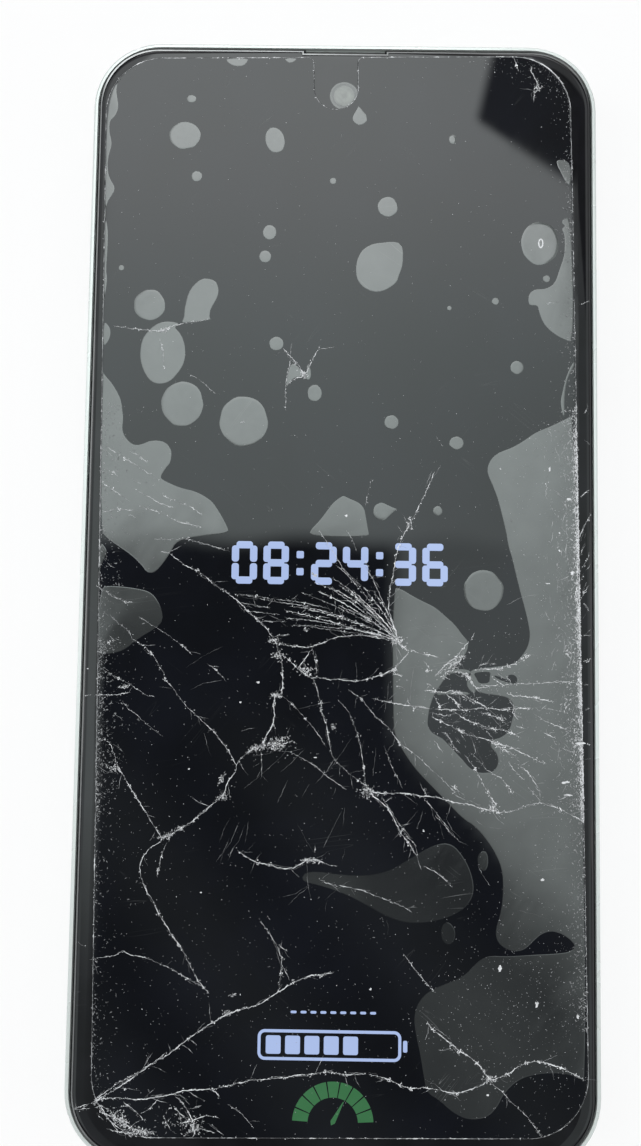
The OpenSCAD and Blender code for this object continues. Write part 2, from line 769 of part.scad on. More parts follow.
module usb_tongue() {
  color([0.1, 0.1, 0.1])
  block([-3.35, usb_y + 0.8, usb_z - 0.35], [3.35, usb_y + usb_l - 0.5, usb_z + 0.35]);
}

module headphone_jack() {
  color([0.12, 0.12, 0.13])
  difference() {
    union() {
      block([jack_x - 3.1, -in_y + 0.1, jack_foot], [jack_x + 3.1, jack_y + jack_l + 1, z_plate]);
      bar_y(jack_x, jack_z, jack_y, -in_y + o, jack_nose);
    }
    bar_y(jack_x, jack_z, jack_y - o, jack_y + jack_l, jack_r);
  }
}

module loudspeaker_box() {
  z0 = z_ledge + 0.15;
  color([0.14, 0.14, 0.15])
  difference() {
    translate([0, 0, z0]) linear_extrude(z_plate - z0) intersection() {
      translate([speaker_x0, sub_y0]) square([speaker_x1 - speaker_x0, speaker_y1 - sub_y0]);
      rounded(2 * (in_x - edge_gap), 2 * (in_y - edge_gap), in_r - 0.2);
    }
    block([speaker_x0 + 6, sub_y0 - o, sound_z - 1], [speaker_x0 + 19, sub_y0 + 5, sound_z + 1]);
    translate([(speaker_x0 + speaker_x1) / 2, speaker_y1 - 8, 0]) plate(15, 11, 4, z0 - o, z0 + 1.6);
  }
}

module speaker_mesh() {
  color([0.3, 0.3, 0.3])
  block([speaker_x0 + 6, -in_y + 0.02, sound_z - 1.2], [speaker_x0 + 19, sub_y0 - 0.1, sound_z + 1.2]);
}

module vibration_motor() {
  color([0.75, 0.75, 0.72])
  post(motor_x, motor_y, z_plate - 2.8, z_plate, motor_r);
}

module microphones() {
  color([0.8, 0.78, 0.6]) {
    block([mic_x - 1.8, sub_y0 + 0.2, z_rear - 1], [mic_x + 1.8, sub_y0 + 3, z_rear]);
    block([mic_x - 1.8, board_y1 - 3, z_rear - 1], [mic_x + 1.8, board_y1 - 0.2, z_rear]);
  }
}

module main_flex() {
  x0 = ribbon_x - ribbon_w / 2;
  x1 = ribbon_x + ribbon_w / 2;
  z0 = battery_z0 - sheet_t - flex_t;
  y0 = battery_y0 - 0.9;
  y1 = battery_y1 + 1.2;
  color([0.75, 0.45, 0.15]) {
    block([x0, y0, z0], [x1, y1, z0 + flex_t]);
    block([x0, y1 - flex_t, z0], [x1, y1, ribbon_z]);
    block([x0, y1 - flex_t, ribbon_z - flex_t], [x1, board_y0 + 4.6, ribbon_z]);
    block([x0, y0, z0], [x1, y0 + flex_t, ribbon_z]);
    block([x0, sub_y1 - 5.6, ribbon_z - flex_t], [x1, y0 + flex_t, ribbon_z]);
  }
}

module antenna_coax() {
  bend = 2;
  x1 = sub_x0 + 2;
  color([0.1, 0.1, 0.1]) {
    bar_y(coax_x, coax_z, coax_y + bend, board_y0 + 1, coax_r);
    translate([coax_x + bend, coax_y + bend, coax_z]) rotate(180) {
      rotate_extrude(angle = 90) translate([bend, 0]) circle(coax_r);
    }
    bar_x(coax_y, coax_z, coax_x + bend, x1, coax_r);
  }
}

// key with its inner flange and pressing nubs
module side_key(y, l, nubs) {
  color([0.8, 0.83, 0.8]) {
    key_bar(y, l, 0, flange_x, half_w + key_out);
    key_bar(y, l, 0.6, flange_x, flange_x + flange_t);
    for (n = nubs) bar_x(y + n, key_z, flange_x - nub_l, flange_x + 0.1, 0.8);
  }
}

module volume_key() {
  side_key(volume_y, volume_l, [-volume_l / 2 + 4, volume_l / 2 - 4]);
}

module power_key() {
  difference() {
    side_key(power_y, power_l, [0]);
    side_bar(half_w + key_out - 0.15, half_w + key_out + o, power_y, key_z, key_h - 0.6, power_l - 1.6, 0.9);
  }
}

module fingerprint_sensor() {
  x0 = half_w + key_out - 0.15;
  color([0.12, 0.12, 0.14])
  side_bar(x0, x0 + 0.13, power_y, key_z, key_h - 0.66, power_l - 1.66, 0.87);
}

module key_flex() {
  z0 = z_ledge + 0.65;
  color([0.75, 0.45, 0.15]) {
    block([rib_x, power_y - 5.5, z0], [rib_x + flex_t, volume_y + 9.5, z_board]);
    block([board_x1 - 1.4, volume_y - 3, z0], [rib_x + flex_t, volume_y + 1, z0 + flex_t]);
    block([board_x1 - 1.4, volume_y - 3, z0], [board_x1 - 1.25, volume_y + 1, z_rear]);
  }
}

module key_switches() {
  color([0.85, 0.85, 0.8])
  for (y = [volume_y - volume_l / 2 + 4, volume_y + volume_l / 2 - 4, power_y]) {
    block([switch_x, y - 1.6, key_z - 1.3], [switch_x + switch_l - 0.2, y + 1.6, key_z + 1.3]);
    bar_x(y, key_z, switch_x, switch_x + switch_l, 0.8);
  }
}

module top_bracket() {
  color([0.16, 0.17, 0.18])
  difference() {
    translate([0, 0, top_z0]) linear_extrude(top_t) intersection() {
      translate([board_x0, board_y0]) square([board_x1 - board_x0, board_l]);
      rounded(2 * (in_x - edge_gap), 2 * (in_y - edge_gap), in_r - 0.2);
    }
    rear_openings(barrel_r + 0.3, top_z0 - o, top_z0 + top_t + o);
    block([flash_x - 1.8, flash_y - 1.8, top_z0 - o], [flash_x + 1.8, flash_y + 1.8, top_z0 + top_t + o]);
    block([board_x1 - 1.9, volume_y - 3.5, top_z0 - o], [board_x1 + o, volume_y + 1.5, top_z0 + top_t + o]);
    for (p = TOP_BOSSES) post(p[0], p[1], top_z0 - o, top_z0 + head_t, head_r + 0.1);
    for (p = TOP_BOSSES) post(p[0], p[1], top_z0, top_z0 + top_t + o, pilot_r);
  }
}

module bottom_bracket() {
  color([0.7, 0.7, 0.68])
  difference() {
    translate([0, 0, low_z0]) linear_extrude(low_t) intersection() {
      translate([sub_x0, sub_y0]) square([sub_x1 - sub_x0, sub_l - 2]);
      rounded(2 * (in_x - edge_gap), 2 * (in_y - edge_gap), in_r - 0.2);
    }
    block([-usb_w / 2 - 0.4, sub_y0 - o, z_ledge], [usb_w / 2 + 0.4, usb_y + usb_l + 0.4, z_rear]);
    block([jack_x - 3.5, sub_y0 - o, z_ledge], [jack_x + 3.5, jack_y + jack_l + 1.4, z_rear]);
    for (p = LOW_BOSSES) post(p[0], p[1], z_ledge, z_rear, pilot_r);
  }
}

module screw(x, y, z) {
  post(x, y, z, z + head_t, head_r);
  post(x, y, z, z + head_t + screw_l, screw_r);
}

module bracket_screws() {
  color([0.65, 0.65, 0.66]) {
    for (p = TOP_BOSSES) screw(p[0], p[1], top_z0);
    for (p = LOW_BOSSES) screw(p[0], p[1], top_z0);
  }
}

screen_protector();
cover_glass();
display_panel();
display_adhesive();
display_flex();
mid_frame();
rear_cover();
rear_adhesive();
camera_plate();
camera_windows();
flash_lens();
flash_led();
rear_camera_main();
rear_camera_second();
front_camera();
front_camera_lens();
camera_flexes();
earpiece_speaker();
earpiece_mesh();
light_sensor();
main_board();
board_shields();
board_chips();
board_connectors();
card_reader();
sim_tray();
battery();
battery_adhesive();
battery_flex();
graphite_sheet();
sub_board();
usb_shell();
usb_tongue();
headphone_jack();
loudspeaker_box();
speaker_mesh();
vibration_motor();
microphones();
main_flex();
antenna_coax();
power_key();
fingerprint_sensor();
volume_key();
key_flex();
key_switches();
top_bracket();
bottom_bracket();
bracket_screws();
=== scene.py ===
"""Shattered screen phone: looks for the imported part, in metres, in the frame of its CAD.

Each operator makes one piece, or one group of like pieces, and main() calls them in order.
"""

import math
import random

import bpy
from bpy.props import FloatProperty, FloatVectorProperty, IntProperty, PointerProperty
from mathutils import Matrix, Vector, geometry, noise


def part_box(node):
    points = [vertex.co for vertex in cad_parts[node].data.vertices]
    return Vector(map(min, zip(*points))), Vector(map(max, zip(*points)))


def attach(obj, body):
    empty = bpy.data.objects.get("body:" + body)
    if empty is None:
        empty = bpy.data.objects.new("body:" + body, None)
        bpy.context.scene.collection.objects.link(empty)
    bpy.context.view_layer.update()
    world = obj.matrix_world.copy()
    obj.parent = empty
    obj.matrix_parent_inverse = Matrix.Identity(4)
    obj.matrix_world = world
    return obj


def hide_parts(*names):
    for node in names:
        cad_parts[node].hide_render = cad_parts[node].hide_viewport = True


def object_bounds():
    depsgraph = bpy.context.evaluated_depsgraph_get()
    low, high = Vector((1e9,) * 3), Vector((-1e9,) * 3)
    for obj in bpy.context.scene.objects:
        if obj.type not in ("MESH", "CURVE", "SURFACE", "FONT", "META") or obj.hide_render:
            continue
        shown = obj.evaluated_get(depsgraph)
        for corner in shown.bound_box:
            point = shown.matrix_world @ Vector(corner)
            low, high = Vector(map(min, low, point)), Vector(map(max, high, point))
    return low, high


bl_info = {
    "name": "Shattered Screen Phone",
    "version": (1, 0, 0),
    "blender": (4, 5, 0),
    "location": "3D View > Sidebar > Phone",
    "description": "Builds the looks of a phone with a shattered screen protector",
    "category": "Object",
}

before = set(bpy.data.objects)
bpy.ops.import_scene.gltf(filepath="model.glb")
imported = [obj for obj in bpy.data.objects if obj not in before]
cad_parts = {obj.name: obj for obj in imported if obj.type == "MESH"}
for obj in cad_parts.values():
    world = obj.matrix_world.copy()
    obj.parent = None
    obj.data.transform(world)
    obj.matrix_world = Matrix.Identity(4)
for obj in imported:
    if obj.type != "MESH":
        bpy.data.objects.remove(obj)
CAD_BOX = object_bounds()
GLASS_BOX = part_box("cover_glass")
WINDOWS_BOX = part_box("camera_windows")
CAMERA_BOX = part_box("front_camera_lens")

MM = 0.001
HOUSING = "chassis"
GLASS_TOP = GLASS_BOX[1][2]
# The protector and all the damage on it share the height between the glass and the top of the CAD box.
GUARD_TOP = GLASS_TOP + 0.24 * MM
# What lies on the protector starts just over its face; its chipped edge starts just inside it.
OVER_GUARD = GUARD_TOP + 0.012 * MM
INTO_GUARD = GUARD_TOP - 0.01 * MM
GUARD_SIZE = (69.9, 157.1)
GUARD_CORNER = 8.6
GUARD_TURN = math.radians(0.8)
GUARD_SHIFT = 1.1
NOTCH = (-0.3, 6.5, 8.1)

# ---------------------------------------------------------------- where the damage lies
# All in millimetres from the middle of the glass, x to the right and y up.

# round pockets of air: middle, half width, half height, lean in degrees
BUBBLES = [
    (-23.9, 67.2, 2.35, 2.1, 0),
    (-10.4, 66.6, 1.45, 2, 15),
    (-23.05, 72.9, 0.72, 0.6, 0),
    (-22, 60.9, 0.8, 0.8, 0),
    (-10.95, 52.4, 1, 1.1, 0),
    (-11.55, 48.7, 0.9, 0.9, 0),
    (-1.6, 60.4, 0.5, 0.5, 0),
    (-32.9, 46.75, 0.42, 0.42, 0),
    (16.25, 67, 0.57, 0.75, 0),
    (6.6, 56.5, 1.5, 1.5, 0),
    (29.25, 51.15, 2.83, 3.28, 0),
    (30.2, 45.8, 0.55, 0.55, 0),
    (-28.55, 41.15, 2.35, 2.35, 0),
    (-23.35, 26.35, 3.1, 3.35, 0),
    (-14.25, 23.85, 3.55, 3.75, 0),
    (-9.65, 35.55, 1.05, 1.05, 0),
    (-3.9, 28.2, 1.05, 1.25, 0),
    (15.85, 41.2, 0.35, 0.35, 0),
    (22.65, 42.3, 0.55, 0.55, 0),
    (25.85, 32.4, 1, 1, 0),
    (7.45, 24, 1.05, 1.05, 0),
    (17, 21.05, 1.08, 0.97, 0),
    (14.3, 11, 0.7, 0.7, 0),
    (21, -0.5, 2.9, 2.95, 0),
]

# drop-shaped pockets: middle, half width, half height, tip
DROPS = [
    (2.3, 70.1, 1.1, 1, 2.1, 72.1),
    (6.1, 10.8, 1.2, 1.3, 8.4, 11.2),
]

# larger pockets of air: strength of the painted reflection at the top and at the bottom, then the outline
POCKETS = [
    (1, 1, [(7.9, 51.25), (8.85, 50.6), (8.97, 49.2), (8.9, 47.55), (8.3, 45.9), (8.05, 45), (6.65, 43.9),
        (5, 43.4), (3.3, 44), (2.35, 45), (2, 46), (1.95, 47.5), (2.3, 48.9), (3, 50), (4.2, 50.75),
        (5.5, 51)]),
    (0.9, 0.9, [(-18.1, 79.4), (-17.7, 78.6), (-16.9, 78.1), (-16, 78), (-15.2, 78.2), (-14.7, 78.8),
        (-14.6, 79.4)]),
    (0.9, 0.9, [(-9.2, 79.5), (-8.9, 78.9), (-8.4, 78.6), (-7.7, 78.8), (-7.2, 79.5)]),
    (1, 1, [(-34, 76.4), (-34.3, 75), (-34.4, 74), (-34.2, 72.8), (-34, 71.7), (-34.2, 70.6), (-34.7, 69.8),
        (-35.2, 69.4), (-35.3, 68.4), (-35.2, 67.3), (-34.95, 66.4), (-34.85, 65.6), (-35.05, 64.8),
        (-35.3, 63.7), (-35.4, 62.6), (-35.2, 60.9), (-34.7, 59.9), (-34.25, 59.2), (-34.25, 58.5),
        (-34.7, 57.7), (-35.2, 56.9), (-35.5, 55.6), (-35.4, 54.2), (-35.1, 52.8), (-35, 51.4),
        (-35.05, 48.7), (-35.15, 46.2), (-34.9, 45), (-35.2, 42.5), (-35.6, 41.2), (-35.75, 44), (-35.8, 50),
        (-35.95, 60), (-36.05, 70), (-36, 74.5), (-35.2, 76.6)]),
    (1, 1, [(-35.5, 38.6), (-34.6, 38.1), (-34.2, 37.3), (-34.25, 36.2), (-34.7, 35.3), (-35.5, 34.8)]),
    (1, 1, [(-23.4, 40), (-23.3, 41.1), (-22.8, 43.3), (-21.7, 44.7), (-20.7, 45.3), (-19.5, 45.2),
        (-18.6, 44.7), (-18.3, 43.3), (-18.6, 42.2), (-19.4, 40.8), (-19.6, 40), (-19.6, 39.3), (-19.3, 39),
        (-23.3, 38.5), (-23.75, 38.6), (-23.4, 39.4)]),
    (1, 1, [(-28.9, 36.95), (-28.05, 37.9), (-26.95, 38.55), (-25.55, 38.75), (-23.9, 38.4), (-24.85, 37.85),
        (-24, 37.1), (-23.3, 35.8), (-23, 33.9), (-23.3, 32.2), (-24.2, 30.8), (-25.3, 29.6), (-26.8, 29.2),
        (-28.05, 29.6), (-29, 30.8), (-29.65, 32.5), (-29.8, 33.9), (-29.6, 35.8)]),
    (1, 1, [(-7.5, 33.1), (-5.7, 31.4), (-5.3, 30.6), (-6.95, 30.6), (-8.05, 29), (-8.2, 29.4)]),
    (1, 1, [(-4.95, 32.8), (-4.4, 31.4), (-4.6, 30.1), (-5.3, 30.3), (-5.1, 31.7)]),
    (1, 0.9, [(-35.4, 31.4), (-35, 30.6), (-34, 29.6), (-33.05, 28.2), (-32.35, 26.8), (-32.1, 25),
        (-31.95, 24.2), (-32.1, 22.5), (-31.7, 21.4), (-30.8, 20.4), (-29.9, 20.1), (-28.9, 20.4),
        (-28.05, 20.8), (-26.7, 20.9), (-25.55, 20.55), (-24.9, 19.7), (-24.7, 18.9), (-24.9, 17.5),
        (-25.55, 16.7), (-26.25, 15.55), (-26.1, 15.15), (-25, 14.6), (-23.3, 13.9), (-21.4, 13.5),
        (-20, 12.9), (-18.6, 11.95), (-17.8, 10.8), (-17.1, 9.7), (-16.2, 8), (-16.2, 7.3), (-20, 6.9),
        (-23.6, 6.2), (-24.6, 4.3), (-25.7, 2.6), (-26.8, 1.4), (-27.9, 1.4), (-28.8, 2.6), (-30.3, 4),
        (-32.3, 5.3), (-33.9, 6.4), (-34.9, 7.6)]),
    (0.6, 0.5, [(-35, 5.9), (-34, 5), (-33.8, 4.2), (-34.3, 3), (-34.9, 2), (-34.95, 1.3)]),
    (0.55, 0.3, [(-35, -0.8), (-33, -0.5), (-29, -0.9), (-27, -1.5), (-25.7, -3.5), (-25.3, -5.5),
        (-26.5, -6.7), (-29, -8.2), (-31, -10), (-33.5, -10.5), (-34.8, -10.3)]),
    (1, 0.8, [(-4.2, 8), (-3.05, 9.2), (-2.2, 10.3), (-1.1, 11.9), (0, 12.8), (0.55, 13.1), (1.4, 12.65),
        (2.8, 12.1), (3.6, 11.25), (3.8, 10.3), (4.2, 8), (4.4, 7), (-4.4, 7)]),
    (1, 1, [(31.7, 64.1), (33.9, 63.8), (33.9, 59.9), (33.05, 60.6), (32.4, 62), (31.8, 63.1)]),
    (1, 1, [(33.9, 55.4), (32.6, 54.9), (32.5, 54.2), (33.05, 53.9), (32.4, 53.4), (32.9, 52.5), (32.9, 50.6),
        (32.8, 49.2), (32.2, 47.5), (31.4, 45), (30, 44.3), (28.6, 44.3), (27.65, 43.6), (27.45, 42.6),
        (27.65, 41.7), (28.9, 41.8), (29.05, 40.8), (29.7, 39), (31.1, 37.6), (32.8, 36.65), (34.3, 36.2)]),
    (1, 1, [(34.45, 33.75), (33.2, 31.7), (32.5, 28.9), (32.15, 27.2), (32.6, 25.1), (32.85, 25),
        (32.8, 27.2), (32.9, 28.9), (33.3, 31), (34.3, 32.8)]),
    (1, 0.8, [(34.9, 25.7), (32.8, 24.7), (30.6, 23.6), (28.6, 22.8), (26.7, 21.4), (25, 20.4), (23.05, 19.7),
        (21.9, 18.6), (21.45, 17.2), (21.7, 16.1), (22.2, 15), (23.05, 12.8), (23.6, 10.6), (24.2, 8),
        (24.5, 6), (25, 4.5), (25.6, 2), (26.3, -0.8), (26.9, -3), (27.4, -5), (27.7, -7), (27.3, -8.7),
        (26.5, -9.9), (25.5, -11), (23.5, -11.4), (20, -11.8), (19, -12.2), (18.7, -13), (19.4, -14),
        (20, -15.3), (24, -15.7), (25, -16.3), (25.5, -17.5), (25.1, -19), (24.8, -20.3), (23.8, -21.5),
        (22, -22), (22, -23), (22.9, -23.8), (23.2, -25.2), (22.5, -26.4), (21.5, -26.6), (20.2, -26.6),
        (19, -25.9), (18, -24.7), (16.5, -23.2), (15.3, -21.9), (14.5, -21.5), (13.6, -21), (13, -20),
        (13.1, -18.8), (13.3, -17.5), (13.8, -16), (14.3, -15), (15, -14), (16, -12.5), (16.9, -11.2),
        (18, -10.3), (18.7, -9.3), (18.9, -7.9), (18, -7), (17, -5.6), (15.5, -4.3), (14, -3), (12, -2.1),
        (10.5, -1.3), (9, -0.4), (7.8, -0.3), (8, -20), (8.5, -22), (10, -24.5), (11.5, -26.5), (14, -29),
        (16, -31), (18.2, -33.2), (19.6, -34), (21, -35.4), (22.6, -37.6), (23.7, -40), (23.9, -43),
        (23.6, -46), (22.8, -48.4), (22.9, -50), (24, -51.1), (25.6, -51.6), (27, -51.2), (28.2, -50),
        (29.3, -49), (30.6, -48.6), (32, -48.9), (33.3, -49.7), (34.1, -50.6), (33.4, -51.4), (31.4, -51.7),
        (28, -51.9), (24.5, -52.2), (21.6, -52.1), (20, -53.2), (18.4, -55), (16, -56), (13.6, -57),
        (12, -58.5), (11.3, -60.6), (11.6, -63), (12.3, -66), (12.8, -69), (13.2, -71), (15, -72),
        (16.8, -73.6), (19, -74.6), (21.6, -74.3), (23.1, -72.8), (24, -70.9), (26, -69), (28.5, -68.2),
        (32, -68), (34.4, -68.6), (36, -69.5)]),
    (0.25, 0.2, [(15.3, -47.9), (16.1, -47.5), (16.9, -48.2), (17.2, -49.3), (16.8, -50.4), (16.1, -50.8),
        (15.3, -50.2), (15, -49.1)]),
    (0.3, 0.25, [(20.2, -38.2), (21, -37.5), (21.7, -37.9), (21.8, -39.6), (21.2, -40.6), (20.3, -39.9)]),
    (0.16, 0.3, [(16.5, -36.5), (18.4, -38.6), (19.5, -41), (19.8, -43.4), (18.9, -45.2), (17, -46.6),
        (14, -47.6), (10.5, -47.9), (7.4, -47), (4.5, -45.4), (1.5, -43.9), (-2, -42.8), (-5, -42.2),
        (-4, -40.6), (2, -41.4), (7, -41), (11, -38.6), (14, -36.8)]),
    (0.9, 0.9, [(16.3, -11.9), (18.9, -11.9), (19.3, -12.5), (19.1, -13.2), (18.3, -12.8), (17.2, -12.4),
        (16.1, -12.7), (15.9, -12.3)]),
    (0.9, 0.9, [(18.6, -13.3), (19.1, -13.3), (19.7, -14.2), (20, -15.2), (19.4, -15.4), (18.5, -14.3)]),
    (0.9, 0.9, [(14.4, -15.05), (16, -15.2), (18.4, -15.05), (19.3, -15.5), (18, -15.7), (15.6, -15.55),
        (14.2, -15.8)]),
]

# splinters of glass still held down inside the large pocket
HELD_DOWN = [
    [(19.5, -12.4), (20.8, -12.15), (22.1, -12.2), (22, -12.9), (21.9, -13.9), (20.4, -14), (19.9, -13.2)],
    [(22.4, -12.6), (23.6, -12.9), (24.8, -13.4), (24.9, -13.9), (23.8, -13.6), (22.7, -13.1)],
    [(24.3, -12.7), (25.2, -12.45), (25.9, -12.9), (25.9, -13.8), (25.1, -14), (24.5, -13.3)],
]

